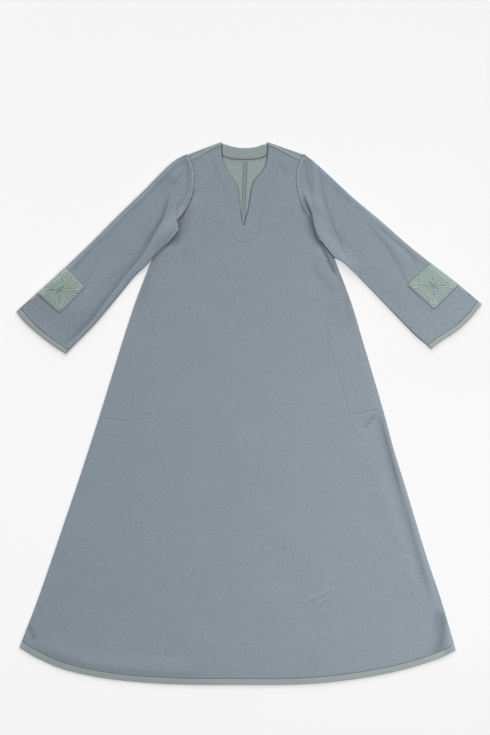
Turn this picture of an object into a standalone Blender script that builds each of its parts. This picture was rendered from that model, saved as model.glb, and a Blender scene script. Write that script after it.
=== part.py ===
"""A long-sleeved thobe robe of double-faced cloth, laid flat with its front up.

Frame: +X is the wearer's left, +Y runs up the robe to the neck, +Z points up from the
surface it lies on. The origin is on that surface, at the middle of the robe's box.
Every piece is cut as a flat net, placed by one function for its outer face and by one
for its inner face, and so becomes a closed wall of cloth.
"""

import bisect
import math

import bmesh
import bpy
from mathutils import Vector, geometry

# Cloth and how high it lies, in metres
WALL = 0.0016
TRIM = 0.0010
BAND_WALL = 0.0020
SEAM_GAP = 0.0003
ARMHOLE_GAP = 0.0005
LAID = 0.0052
SIDE_LAID = 0.0035
HEM_SEAM_LAID = 0.0049
HEM_LAID = 0.0043
CUFF_LAID = 0.0056
INNER_TOP = WALL + SEAM_GAP + TRIM
SIDE_ROLL = 0.020
ROLL = LAID / 2

# Colours of the two faces of the cloth
BLUE_GREY = (0.240, 0.280, 0.322)
SAGE = (0.298, 0.362, 0.340)

# Widths of the narrow pieces
HEM_BAND = 0.017
TAPE = 0.012
SHOULDER_STRIP = 0.006

SIDES = {"right": -1, "left": 1}

# Side seams from the hem up: height, and the seam's place on the wearer's right and left
SIDE_SEAMS = (
    # y, right, left
    (-0.500, -0.567, 0.515),
    (-0.400, -0.532, 0.481),
    (-0.300, -0.498, 0.450),
    (-0.200, -0.464, 0.420),
    (-0.100, -0.431, 0.389),
    (0.000, -0.399, 0.362),
    (0.100, -0.368, 0.333),
    (0.200, -0.337, 0.303),
    (0.300, -0.304, 0.273),
)
HEM = (
    # x, y, from the right corner to the left
    (-0.616, -0.627),
    (-0.567, -0.656),
    (-0.490, -0.688),
    (-0.373, -0.712),
    (-0.217, -0.7255),
    (-0.024, -0.7278),
    (0.137, -0.7265),
    (0.266, -0.715),
    (0.395, -0.692),
    (0.500, -0.661),
    (0.5545, -0.635),
)

# Underarm seams, from the side seam up, and the armholes above them to the shoulder fold
UNDERARMS = {
    "right": ((-0.262, 0.410), (-0.226, 0.474), (-0.193, 0.518)),
    "left": ((0.228, 0.418),),
}
ARMHOLES = {
    "right": (
        (-0.193, 0.518),
        (-0.178, 0.535),
        (-0.161, 0.563),
        (-0.151, 0.592),
        (-0.147, 0.622),
        (-0.147, 0.647),
        (-0.152, 0.668),
        (-0.160, 0.686),
        (-0.1665, 0.694),
    ),
    "left": (
        (0.228, 0.418),
        (0.200, 0.453),
        (0.182, 0.472),
        (0.174, 0.495),
        (0.164, 0.523),
        (0.148, 0.547),
        (0.136, 0.573),
        (0.128, 0.606),
        (0.126, 0.641),
        (0.132, 0.668),
        (0.1455, 0.695),
    ),
}

# Shoulder folds, from the neck out, and how far in front of them the shoulder seam lies
SHOULDER_FOLDS = {
    "right": ((-0.076, 0.728), (-0.1665, 0.694)),
    "left": ((0.052, 0.728), (0.1455, 0.695)),
}
SHOULDER_SEAM = (
    # share of the fold's length, depth
    (0.02, 0.0052),
    (0.40, 0.0082),
    (0.66, 0.0124),
)
SHOULDER_SEAM_END = 0.0150

# Neckline of the front, from the shoulder seam down to the bottom of the slit
NECKLINES = {
    "right": (
        (-0.0745, 0.703),
        (-0.0725, 0.686),
        (-0.063, 0.659),
        (-0.050, 0.638),
        (-0.038, 0.622),
        (-0.031, 0.606),
        (-0.027, 0.576),
        (-0.024, 0.545),
        (-0.020, 0.515),
    ),
    "left": (
        (0.051, 0.706),
        (0.050, 0.688),
        (0.045, 0.665),
        (0.033, 0.644),
        (0.014, 0.623),
        (0.007, 0.600),
        (0.003, 0.573),
        (-0.001, 0.550),
        (-0.007, 0.526),
    ),
}
SLIT_BOTTOM = (-0.014, 0.503)
# Back neck, from the centre back out to each side, and the band that lines it
BACK_NECK = {
    "right": ((-0.009, 0.7125), (-0.026, 0.713), (-0.048, 0.717), (-0.062, 0.7215)),
    "left": ((-0.009, 0.7125), (0.000, 0.7125), (0.024, 0.7165), (0.038, 0.7215)),
}
NECK_BAND_ENDS = {"right": (-0.084, 0.7205), "left": (0.060, 0.7205)}
NECK_BAND_LOWER = (
    (-0.084, 0.704),
    (-0.073, 0.695),
    (-0.052, 0.6855),
    (-0.013, 0.682),
    (0.026, 0.6855),
    (0.050, 0.696),
    (0.061, 0.705),
)
CENTRE_BACK = ((-0.009, 0.7125), (-0.016, 0.506), (-0.024, 0.000), (-0.031, -0.711))
TAPE_TOP = 0.6805
TAPE_FOOT = -0.706

# Pocket bags, which hang from the side seams inside the front
POCKETS = {
    "right": (
        (-0.284, 0.300),
        (-0.266, 0.282),
        (-0.258, 0.238),
        (-0.264, 0.182),
        (-0.283, 0.118),
        (-0.307, 0.052),
        (-0.321, -0.021),
        (-0.384, -0.014),
        (-0.351, 0.090),
        (-0.328, 0.165),
        (-0.306, 0.235),
    ),
    "left": (
        (0.230, 0.330),
        (0.212, 0.290),
        (0.206, 0.232),
        (0.214, 0.180),
        (0.232, 0.128),
        (0.252, 0.058),
        (0.270, -0.002),
        (0.343, 0.006),
        (0.316, 0.090),
        (0.288, 0.182),
        (0.262, 0.262),
    ),
}

# Sleeves: the folded outer edge and the lower edge, both from the shoulder to the cuff band
SLEEVE_OUTER = {
    "right": (
        (-0.1692, 0.6956),
        (-0.211, 0.670),
        (-0.284, 0.597),
        (-0.358, 0.525),
        (-0.431, 0.452),
        (-0.530, 0.358),
        (-0.580, 0.314),
        (-0.6140, 0.2835),
    ),
    "left": (
        (0.1484, 0.6966),
        (0.189, 0.663),
        (0.277, 0.581),
        (0.353, 0.517),
        (0.427, 0.452),
        (0.487, 0.404),
        (0.560, 0.348),
        (0.6140, 0.3030),
    ),
}
SLEEVE_LOWER = {
    "right": (
        (-0.189, 0.497),
        (-0.210, 0.478),
        (-0.254, 0.424),
        (-0.300, 0.368),
        (-0.346, 0.318),
        (-0.411, 0.241),
        (-0.4830, 0.1685),
    ),
    "left": (
        (0.2290, 0.4172),
        (0.258, 0.401),
        (0.318, 0.342),
        (0.379, 0.278),
        (0.442, 0.213),
        (0.4775, 0.1830),
    ),
}
# Cuff bands, from the outer corner to the lower one: the seam, then the cuff's edge
CUFF_SEAMS = {
    "right": (
        (-0.6140, 0.2835),
        (-0.586, 0.250),
        (-0.548, 0.216),
        (-0.510, 0.187),
        (-0.4830, 0.1685),
    ),
    "left": (
        (0.6140, 0.3030),
        (0.585, 0.265),
        (0.549, 0.232),
        (0.505, 0.204),
        (0.4775, 0.1830),
    ),
}
CUFF_EDGES = {
    "right": (
        (-0.6245, 0.2735),
        (-0.598, 0.242),
        (-0.559, 0.208),
        (-0.519, 0.178),
        (-0.4905, 0.1600),
    ),
    "left": (
        (0.6245, 0.2945),
        (0.596, 0.258),
        (0.559, 0.223),
        (0.514, 0.193),
        (0.4875, 0.1725),
    ),
}
# The right sleeve laps over the body under the arm, and is raised to clear it
LAP_LIFT = 0.0060
LAP_RAMP = 0.014
LAP_TOP = 0.536
LAP_FADE = 0.034

# Embroidered squares: where their side on the sleeve's outer fold starts and ends, as
# shares of that fold, and the two corners that lie on the sleeve
PATCHES = {
    "right": ((0.731, 0.893), ((-0.4470, 0.3425), (-0.5145, 0.2740))),
    "left": ((0.734, 0.882), ((0.4265, 0.3475), (0.4955, 0.2845))),
}
PATCH_SIDE_RAYS = 8
PATCH_FOLD_TURNS = (0.01, 0.035)
PATCH_GAP = 0.0005
PATCH_ROLL = 0.8 * ROLL
PATCH_RINGS = (0.14, 0.38, 0.62, 0.82, 0.93, 0.98, 1.0)
PATCH_RELIEF = 0.0007

# Largest folds: rise at the crest, or fall where negative, half width, and the route
FRONT_FOLDS = (
    (-0.0013, 0.022, ((0.364, -0.050), (0.412, -0.220), (0.448, -0.340), (0.488, -0.480))),
    (0.0022, 0.026, ((0.330, -0.090), (0.372, -0.220), (0.412, -0.350), (0.452, -0.490))),
    (0.0015, 0.022, ((0.224, 0.385), (0.250, 0.300), (0.270, 0.225))),
    (0.0018, 0.030, ((-0.176, 0.470), (-0.222, 0.380), (-0.244, 0.300))),
    (-0.0012, 0.020, ((-0.215, 0.430), (-0.256, 0.370))),
    (0.0016, 0.020, ((0.090, -0.510), (0.148, -0.480), (0.200, -0.462))),
    (-0.0010, 0.018, ((0.090, -0.545), (0.150, -0.512), (0.215, -0.492))),
    (0.0020, 0.022, ((0.505, -0.548), (0.486, -0.600))),
    (0.0018, 0.020, ((-0.575, -0.570), (-0.560, -0.615))),
)
SLEEVE_FOLDS = {
    "right": (
        (-0.0013, 0.014, ((-0.206, 0.590), (-0.262, 0.470), (-0.316, 0.402), (-0.412, 0.275))),
        (0.0035, 0.014, ((-0.192, 0.545), (-0.222, 0.485), (-0.300, 0.392), (-0.470, 0.200))),
        (0.0016, 0.020, ((-0.198, 0.535), (-0.206, 0.510), (-0.222, 0.486))),
        (0.0022, 0.028, ((-0.235, 0.560), (-0.318, 0.452), (-0.392, 0.372))),
        (-0.0012, 0.020, ((-0.250, 0.602), (-0.330, 0.520), (-0.385, 0.465))),
    ),
    "left": (
        (0.0050, 0.016, ((0.168, 0.668), (0.190, 0.606), (0.214, 0.522), (0.292, 0.388))),
        (-0.0014, 0.014, ((0.160, 0.670), (0.166, 0.620), (0.182, 0.560), (0.228, 0.448))),
        (-0.0013, 0.016, ((0.292, 0.500), (0.340, 0.440), (0.392, 0.380))),
        (0.0026, 0.018, ((0.318, 0.508), (0.360, 0.456), (0.402, 0.408))),
        (-0.0012, 0.016, ((0.352, 0.506), (0.402, 0.460), (0.440, 0.420))),
        (0.0022, 0.022, ((0.230, 0.572), (0.290, 0.466), (0.350, 0.392))),
    ),
}

# How finely the nets are cut
HEM_PARTS = 40
OUTLINE_STEP = 0.030
NECK_STEP = 0.011
FRONT_STEP = 0.046
FOLD_STEP = 0.036
BEND_PARTS = 6
SLEEVE_SHARES = (0.03, 0.08, 0.15, 0.24, 0.34, 0.44, 0.54, 0.64, 0.73, 0.81, 0.88, 0.94)
SLEEVE_ROWS = (
    *(0, 0.02, 0.06, 0.11, 0.17, 0.23, 0.30, 0.37),
    *(0.44, 0.52, 0.60, 0.68, 0.76, 0.84, 0.92, 1),
)
EDGE_INSETS = (0.25 * ROLL, ROLL)


# --- lines ---------------------------------------------------------------------------------


class Line:
    """A chain of points in the plane, measured along its length."""

    def __init__(self, points):
        self.points = [Vector((x, y)) for x, y in points]
        self.lengths = [0.0]
        for start, end in zip(self.points, self.points[1:]):
            self.lengths.append(self.lengths[-1] + (end - start).length)

    def at(self, share):
        wanted = min(max(share, 0.0), 1.0) * self.lengths[-1]
        index = bisect.bisect_right(self.lengths, wanted) - 1
        index = min(max(index, 0), len(self.points) - 2)
        span = self.lengths[index + 1] - self.lengths[index]
        part = (wanted - self.lengths[index]) / span
        return self.points[index].lerp(self.points[index + 1], part)

    def evenly(self, step):
        count = max(1, round(self.lengths[-1] / step))
        return [self.at(index / count) for index in range(count + 1)]

    def backwards(self):
        return Line(self.points[::-1])

    def aside(self, distance):
        """The line moved to its right-hand side."""
        moved = []
        for index, point in enumerate(self.points):
            before = self.points[max(index - 1, 0)]
            after = self.points[min(index + 1, len(self.points) - 1)]
            along = (after - before).normalized()
            moved.append(point + distance * Vector((along.y, -along.x)))
        return Line(moved)

    def distance(self, point):
        nearest = math.inf
        for start, end in zip(self.points, self.points[1:]):
            side = end - start
            share = min(max((point - start).dot(side) / side.length_squared, 0.0), 1.0)
            nearest = min(nearest, (start + share * side - point).length)
        return nearest


def curve_through(points, parts=12):
    """A smooth line through the points, as a Catmull-Rom curve."""
    points = [Vector(point) for point in points]
    ends = [2 * points[0] - points[1], *points, 2 * points[-1] - points[-2]]
    chain = []
    for before, start, end, after in zip(ends, ends[1:], ends[2:], ends[3:]):
        for part in range(parts):
            t = part / parts
            straight = 2 * start + (end - before) * t
            bent = (2 * before - 5 * start + 4 * end - after) * t**2
            turned = (3 * start - before - 3 * end + after) * t**3
            chain.append(0.5 * (straight + bent + turned))
    return Line([*chain, points[-1]])


def inside(outline, point):
    crossings = 0
    for start, end in zip(outline, [*outline[1:], outline[0]]):
        if (start.y > point.y) != (end.y > point.y):
            x = start.x + (point.y - start.y) / (end.y - start.y) * (end.x - start.x)
            crossings += point.x < x
    return crossings % 2 == 1


def ease(value):
    """0 to 1, level at both ends."""
    value = min(max(value, 0.0), 1.0)
    return value * value * (3 - 2 * value)


# --- the robe's own lines --------------------------------------------------------------------


def side_seam(side):
    """From the hem's corner up to the underarm."""
    corner = HEM[0] if side == "right" else HEM[-1]
    seam = [(right if side == "right" else left, y) for y, right, left in SIDE_SEAMS]
    return curve_through([corner, *seam, UNDERARMS[side][0]])


def shoulder_frame(side):
    """The neck end of the shoulder fold, the ways along it and out over it, and its length."""
    neck, tip = [Vector(point) for point in SHOULDER_FOLDS[side]]
    along = (tip - neck).normalized()
    out = -SIDES[side] * Vector((along.y, -along.x))
    return neck, along, out, (tip - neck).length


def armhole_at_depth(side, depth):
    """Where the armhole crosses the line that lies a depth in front of the shoulder fold."""
    neck, _, out, _ = shoulder_frame(side)
    points = ARMHOLE_LINES[side].points[::-1]
    depths = [(neck - point).dot(out) for point in points]
    index = max(1, min(bisect.bisect_left(depths, depth), len(depths) - 1))
    share = (depth - depths[index - 1]) / (depths[index] - depths[index - 1])
    return points[index - 1].lerp(points[index], share)


def shoulder_seam(side, shift):
    """The shoulder seam from the neck out, moved to the front by a shift."""
    neck, along, out, length = shoulder_frame(side)
    points = []
    for share, depth in SHOULDER_SEAM:
        points.append(neck + share * length * along - (depth + shift) * out)
    return curve_through([*points, armhole_at_depth(side, SHOULDER_SEAM_END + shift)])


def front_neckline(side):
    """From the shoulder seam down to the slit's bottom."""
    top = shoulder_seam(side, SEAM_GAP / 2).points[0]
    return curve_through([top, *NECKLINES[side], SLIT_BOTTOM])


def armhole_ring(side):
    """The sleeve's end: from its outer fold round the armhole to its lower edge."""
    towards_sleeve = SIDES[side] * ARMHOLE_GAP
    seam = ARMHOLE_LINES[side].aside(towards_sleeve).points[::-1]
    return Line([SLEEVE_OUTER[side][0], *seam, SLEEVE_LOWER[side][0]])


def body_armhole(side):
    """The body's points along the armhole, opposite the sleeve's, from the shoulder down."""
    ring = armhole_ring(side)
    seam = [ring.at(share) for share in SLEEVE_SHARES]
    lowest = ARMHOLES[side][0][1]
    seam = [point for point in seam if point.y > lowest + 0.003]
    return Line(seam).aside(SIDES[side] * ARMHOLE_GAP).points


def routed(folds):
    """The folds with their routes made smooth."""
    return [(rise, half, curve_through(route, parts=4)) for rise, half, route in folds]


HEM_LINE = curve_through(HEM)
SIDE_LINES = {side: side_seam(side) for side in SIDES}
ARMHOLE_LINES = {side: curve_through(ARMHOLES[side]) for side in SIDES}
CENTRE_LINE = curve_through(CENTRE_BACK)
FRONT_ROUTES = routed(FRONT_FOLDS)
SLEEVE_ROUTES = {side: routed(SLEEVE_FOLDS[side]) for side in SIDES}


def side_foot(side):
    """Where the side seam crosses the hem band's seam."""
    near_hem = SIDE_LINES[side].evenly(HEM_BAND / 100)
    return next(point for point in near_hem if HEM_LINE.distance(point) >= HEM_BAND)


FEET = {side: side_foot(side) for side in SIDES}


def hem_seam():
    """The hem band's upper edge, from one side seam to the other."""
    right, left = FEET["right"], FEET["left"]
    seam = HEM_LINE.aside(-HEM_BAND).points
    return Line([right, *[point for point in seam if right.x < point.x < left.x], left])


HEM_SEAM = hem_seam()


def body_side(side):
    """The body's edge from the hem band up to the shoulder end of the armhole."""
    seam = SIDE_LINES[side].evenly(OUTLINE_STEP)
    seam = [point for point in seam if point.y > FEET[side].y + 0.5 * OUTLINE_STEP]
    underarm = [Vector(point) for point in UNDERARMS[side][1:]]
    return [FEET[side], *seam, *underarm, *body_armhole(side)[::-1]]


def hem_stations():
    """Points along the hem band's seam, which the band and the panels share."""
    return [HEM_SEAM.at(part / HEM_PARTS) for part in range(1, HEM_PARTS)]


BODY_SIDES = {side: body_side(side) for side in SIDES}
BODY_OUTLINE = [*BODY_SIDES["right"], *BODY_SIDES["left"][::-1]]


# --- how high each layer lies ------------------------------------------------------------------


def folds_at(routes, point):
    """How far the folds lift or sink the cloth at a point."""
    lift = 0.0
    for rise, half_width, route in routes:
        reach = route.distance(point) / half_width
        if reach < 1:
            lift += rise * math.cos(0.5 * math.pi * reach) ** 2
    return lift


def low_edge(side):
    """The stretch of the body's edge where front and back meet face to face."""
    underarm = [point for point in BODY_SIDES[side] if point.y <= ARMHOLES[side][3][1]]
    return Line(underarm)


LOW_EDGES = [low_edge(side) for side in SIDES]


def front_top(point):
    """Height of the front's upper face: low at the side seams, level inside."""
    inset = min(edge.distance(point) for edge in LOW_EDGES)
    dome = math.sin(0.5 * math.pi * min(inset / SIDE_ROLL, 1.0))
    above_side = SIDE_LAID + (LAID - SIDE_LAID) * dome
    hem = ease(HEM_SEAM.distance(point) / SIDE_ROLL)
    above_hem = HEM_SEAM_LAID + (LAID - HEM_SEAM_LAID) * hem
    return min(above_side, above_hem) + folds_at(FRONT_ROUTES, point) * dome


def lap_lift(side, point):
    """How far a sleeve is raised where it laps over the body under the arm."""
    if side == "left" or point.y > LAP_TOP + LAP_FADE:
        return 0.0
    reach = 1.0
    if not inside(BODY_OUTLINE, point):
        reach = 1.1 - LOW_EDGES[0].distance(point) / LAP_RAMP
    return LAP_LIFT * ease(reach) * ease((LAP_TOP + LAP_FADE - point.y) / LAP_FADE)


def sleeve_top(side, point):
    return LAID + lap_lift(side, point) + folds_at(SLEEVE_ROUTES[side], point)


# --- nets --------------------------------------------------------------------------------------


def panel_net(outline, spots=(), creases=()):
    """A flat panel cut into triangles, with spots inside it and straight creases across it."""
    points = [*outline, *spots]
    edges = []
    for crease in creases:
        first = len(points)
        points += crease
        edges += [(index, index + 1) for index in range(first, len(points) - 1)]
    rim = [list(range(len(outline)))]
    points, _, faces, *_ = geometry.delaunay_2d_cdt(points, edges, rim, 1, 1e-6)
    return [tuple(point) for point in points], [tuple(face) for face in faces]


def strip_net(along, across):
    """A grid of shares, with rows along the strip and columns across it."""
    points = [(u, v) for u in along for v in across]
    width = len(across)
    faces = []
    for row in range(len(along) - 1):
        for column in range(width - 1):
            corner = row * width + column
            faces.append((corner, corner + 1, corner + width + 1, corner + width))
    return points, faces


def tube_net(rows, columns):
    """A grid whose columns run round and meet again."""
    points = [(row, column) for row in rows for column in range(columns)]
    faces = []
    for row in range(len(rows) - 1):
        for column in range(columns):
            here = row * columns + column
            beside = row * columns + (column + 1) % columns
            faces.append((here, beside, beside + columns, here + columns))
    return points, faces


def ray_net(rays, rings):
    """Rings of points round a centre, as a ray's number and a share of the way out."""
    points = [(0, 0.0)]
    points += [(ray, ring) for ring in rings for ray in range(rays)]
    faces = [(0, 1 + ray, 1 + (ray + 1) % rays) for ray in range(rays)]
    for ring in range(len(rings) - 1):
        first = 1 + ring * rays
        for ray in range(rays):
            beside = (ray + 1) % rays
            outward = first + rays
            faces.append((first + ray, outward + ray, outward + beside, first + beside))
    return points, faces


def spread_spots(outline, step, routes):
    """Points inside a panel: close along its rim and its folds, wide elsewhere."""
    rim = Line([*outline, outline[0]])
    kept = list(outline)
    spots = []

    def offer(point, room, from_rim):
        if not inside(outline, point) or rim.distance(point) < from_rim:
            return
        if all((point - other).length > room for other in kept):
            kept.append(point)
            spots.append(point)

    for inset in (0.35 * SIDE_ROLL, SIDE_ROLL):
        for distance in (inset, -inset):
            for point in rim.aside(distance).points:
                offer(point, 0.5 * inset, 0.95 * inset)
    for _, half_width, route in routes:
        line = Line(route.evenly(FOLD_STEP))
        for share in (0, 0.55, -0.55, 1, -1):
            for point in line.aside(share * half_width).points:
                offer(point, 0.4 * half_width, 0.4 * SIDE_ROLL)
    low_x = min(point.x for point in outline)
    low_y = min(point.y for point in outline)
    row_step = step * math.sqrt(0.75)
    rows = int((max(point.y for point in outline) - low_y) / row_step) + 1
    columns = int((max(point.x for point in outline) - low_x) / step) + 2
    for row in range(rows):
        for column in range(columns):
            x = low_x + (column - 0.5 * (row % 2)) * step
            offer(Vector((x, low_y + row * row_step)), 0.62 * step, 0.8 * SIDE_ROLL)
    return spots


def shares(count):
    return [index / count for index in range(count + 1)]


# --- making a piece ------------------------------------------------------------------------------


def clear_scene():
    for thing in list(bpy.data.objects):
        bpy.data.objects.remove(thing, do_unlink=True)


def cloth(name, colour):
    material = bpy.data.materials.new(name + "_cloth")
    material.use_nodes = True
    shader = material.node_tree.nodes["Principled BSDF"]
    shader.inputs["Base Color"].default_value = (*colour, 1.0)
    shader.inputs["Roughness"].default_value = 0.9
    shader.inputs["Metallic"].default_value = 0.0
    return material


def sewn(name, net, outer, inner, colour):
    """Raise a net into a closed wall of cloth between its outer and its inner face."""
    points, faces = net
    form = bmesh.new()
    place = form.verts.layers.float_vector.new("place")
    corners = []
    for point in points:
        corner = form.verts.new(outer(*point))
        corner[place] = (*point, 0.0)
        corners.append(corner)
    for face in faces:
        form.faces.new([corners[index] for index in face])
    raised = bmesh.ops.extrude_face_region(form, geom=form.faces[:], use_keep_orig=True)
    for corner in raised["geom"]:
        if isinstance(corner, bmesh.types.BMVert):
            corner.co = inner(*corner[place][:2])
    bmesh.ops.recalc_face_normals(form, faces=form.faces[:])
    form.verts.layers.float_vector.remove(place)
    mesh = bpy.data.meshes.new(name)
    form.to_mesh(mesh)
    form.free()
    mesh.materials.append(cloth(name, colour))
    mesh.shade_smooth()
    mesh.set_sharp_from_angle(angle=math.radians(40))
    bpy.data.collections["thobe_robe"].objects.link(bpy.data.objects.new(name, mesh))


def level(height):
    return lambda x, y: (x, y, height)


def on_front(drop):
    return lambda x, y: (x, y, front_top(Vector((x, y))) - drop)


def strip_between(start, end, tops, wall):
    """Placing functions of a strip: the outer and the inner face between two lines."""

    def outer(u, v):
        x, y = start.at(u).lerp(end.at(u), v)
        return x, y, tops[0] + (tops[1] - tops[0]) * v

    def inner(u, v):
        x, y, z = outer(u, v)
        return x, y, z - wall

    return outer, inner


# --- body ------------------------------------------------------------------------------------------


def make_front():
    outline = [*hem_stations(), *BODY_SIDES["left"]]
    outline += shoulder_seam("left", SEAM_GAP / 2).backwards().evenly(OUTLINE_STEP)
    outline += front_neckline("left").evenly(NECK_STEP)[1:]
    outline += front_neckline("right").backwards().evenly(NECK_STEP)[1:]
    outline += shoulder_seam("right", SEAM_GAP / 2).evenly(OUTLINE_STEP)[1:]
    outline += BODY_SIDES["right"][::-1]
    outline = below_shoulder_seams(outline)
    net = panel_net(outline, spread_spots(outline, FRONT_STEP, FRONT_ROUTES))
    sewn("front", net, on_front(0), on_front(WALL), BLUE_GREY)


def below_shoulder_seams(outline):
    """The outline without the armhole points that belong to the back's shoulder."""
    kept = []
    for point in outline:
        side = "right" if point.x < SLIT_BOTTOM[0] else "left"
        tip = shoulder_seam(side, SEAM_GAP / 2).points[-1]
        on_armhole = point in BODY_SIDES[side]
        if not on_armhole or point.y < tip.y - 0.004:
            kept.append(point)
    return kept


def bend_radius():
    return ROLL - WALL / 2


def place_back(side, radius):
    """The back's cloth: flat, and bent over the shoulder fold on to the front."""
    neck, _, out, _ = shoulder_frame(side)
    start = neck - ROLL * out
    half_turn = math.pi * bend_radius()

    def place(x, y):
        point = Vector((x, y))
        beyond = (point - start).dot(out)
        if beyond <= 1e-5:
            return x, y, ROLL - radius
        angle = min(beyond, half_turn) / bend_radius()
        over = radius * math.sin(angle) - max(beyond - half_turn, 0.0)
        point += (over - beyond) * out
        return point.x, point.y, ROLL - radius * math.cos(angle)

    return place


def spread_shoulder(side):
    """The back's strip that bends over the shoulder, spread flat: its rim and its creases."""
    neck, along, out, length = shoulder_frame(side)
    start = neck - ROLL * out
    half_turn = math.pi * bend_radius()

    def spread(point):
        """A point of the upper layer, past the bend."""
        depth = (neck - point).dot(out)
        return point + (depth - ROLL) * out + (half_turn + depth - ROLL) * out

    rim_neck = []
    rim_tip = []
    for part in range(BEND_PARTS + 1):
        angle = math.pi * part / BEND_PARTS
        reach = angle * bend_radius()
        depth = ROLL * (1 - math.sin(angle))
        tip = (armhole_at_depth(side, depth) - neck).dot(along)
        rim_neck.append(start + reach * out)
        rim_tip.append(start + tip * along + reach * out)
    creases = list(zip(rim_neck, rim_tip))
    seam = shoulder_seam(side, -SEAM_GAP / 2).evenly(0.5 * OUTLINE_STEP)
    return [*rim_neck, *[spread(point) for point in seam], *rim_tip[::-1]], creases


def make_back(side):
    centre = CENTRE_LINE.aside(-SIDES[side] * SEAM_GAP / 2)
    top, bottom = centre.at(0), centre.at(1)
    foot = Vector((bottom.x, min(HEM_SEAM.points, key=lambda point: abs(point.x - bottom.x)).y))
    hem = [point for point in hem_stations() if SIDES[side] * (point.x - foot.x) > 0.01]
    if side == "right":
        hem = hem[::-1]
    shoulder, _, out, _ = shoulder_frame(side)
    below = [point for point in BODY_SIDES[side] if (shoulder - point).dot(out) > 0.006]
    rim, creases = spread_shoulder(side)
    neck = curve_through(BACK_NECK[side]).evenly(NECK_STEP)[1:]
    outline = [foot, *hem, *below, *rim[::-1], *neck[::-1], top]
    net = panel_net(outline, creases=creases)
    sewn("back_" + side, net, place_back(side, ROLL), place_back(side, ROLL - WALL), BLUE_GREY)


def make_hem_bands():
    net = strip_net(shares(HEM_PARTS), (0, 1))
    seam = HEM_SEAM.aside(SEAM_GAP)
    outer, inner = strip_between(HEM_LINE, seam, (HEM_LAID, HEM_SEAM_LAID), BAND_WALL)
    sewn("hem_band_front", net, outer, inner, SAGE)
    inner, outer = strip_between(HEM_LINE, seam, (BAND_WALL, BAND_WALL), BAND_WALL)
    sewn("hem_band_back", net, outer, inner, SAGE)


def make_back_trim():
    """The sage band inside the back neck, and the tape over the centre-back seam."""
    neck = [*BACK_NECK["right"][::-1], *BACK_NECK["left"][1:]]
    upper = curve_through([NECK_BAND_ENDS["right"], *neck, NECK_BAND_ENDS["left"]])
    tops = (INNER_TOP, INNER_TOP)
    outer, inner = strip_between(upper, curve_through(NECK_BAND_LOWER), tops, TRIM)
    sewn("back_neck_band", strip_net(shares(18), (0, 1)), outer, inner, SAGE)
    fine = CENTRE_LINE.evenly(0.0005)
    run = Line([point for point in fine if TAPE_FOOT < point.y < TAPE_TOP])
    outer, inner = strip_between(run.aside(-TAPE / 2), run.aside(TAPE / 2), tops, TRIM)
    sewn("centre_back_tape", strip_net(shares(12), (0, 1)), outer, inner, BLUE_GREY)


def make_pocket(side):
    net = panel_net(curve_through(POCKETS[side], parts=3).points)
    sewn("pocket_" + side, net, level(INNER_TOP), level(INNER_TOP - TRIM), BLUE_GREY)


def make_shoulder_strip(side):
    """The sage edge of the lapped shoulder seam."""
    seam = shoulder_seam(side, 0)
    top = LAID + SEAM_GAP + TRIM
    half = SHOULDER_STRIP / 2
    outer, inner = strip_between(seam.aside(-half), seam.aside(half), (top, top), TRIM)
    sewn("shoulder_strip_" + side, strip_net(shares(8), (0, 1)), outer, inner, SAGE)


# --- sleeves -----------------------------------------------------------------------------------------


def ring_columns():
    """Round a flattened sleeve: share of its width, inset from that edge, and layer."""
    upper = [(0, inset, 1) for inset in EDGE_INSETS]
    upper += [(share, None, 1) for share in SLEEVE_SHARES]
    upper += [(1, inset, 1) for inset in EDGE_INSETS[::-1]]
    under = [(share, inset, -1) for share, inset, _ in upper[::-1]]
    return [(0, 0.0, 0), *upper, (1, 0.0, 0), *under]


RING = ring_columns()


def sleeve_patch(side):
    """A point of the sleeve by its share of the width and of the length."""
    outer = curve_through(SLEEVE_OUTER[side])
    lower = curve_through(SLEEVE_LOWER[side])
    ring = armhole_ring(side)
    cuff = curve_through(CUFF_SEAMS[side])

    def at(across, along):
        edges = outer.at(along).lerp(lower.at(along), across)
        ends = ring.at(across).lerp(cuff.at(across), along)
        first = outer.at(0).lerp(lower.at(0), across)
        last = outer.at(1).lerp(lower.at(1), across)
        return edges + ends - first.lerp(last, along)

    return at


def cuff_patch(side):
    seam = curve_through(CUFF_SEAMS[side])
    edge = curve_through(CUFF_EDGES[side])

    def at(across, along):
        start = seam.at(across)
        way = edge.at(across) - start
        return start + way.normalized() * SEAM_GAP * (1 - along) + way * along

    return at


def flattened_tube(at, top, under, wall):
    """Placing functions of a tube pressed flat, with rolled edges."""

    def place(row, column, depth):
        share, inset, layer = RING[round(column)]
        rounding = 1.0
        if inset is not None:
            rounding = math.sqrt(1 - (1 - inset / ROLL) ** 2)
            inset += depth * (1 - inset / ROLL)
            width = (at(1, row) - at(0, row)).length
            share += (1 - 2 * share) * inset / width
        point = at(share, row)
        middle = (top(point) + under(point)) / 2
        half = (top(point) - under(point)) / 2 - depth
        return point.x, point.y, middle + layer * half * rounding

    def outer(row, column):
        return place(row, column, 0.0)

    def inner(row, column):
        return place(row, column, wall)

    return outer, inner


def make_sleeve(side):
    def top(point):
        return sleeve_top(side, point)

    def under(point):
        return lap_lift(side, point)

    net = tube_net(SLEEVE_ROWS, len(RING))
    outer, inner = flattened_tube(sleeve_patch(side), top, under, WALL)
    sewn("sleeve_" + side, net, outer, inner, BLUE_GREY)
    make_welt(side, outer)


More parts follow.
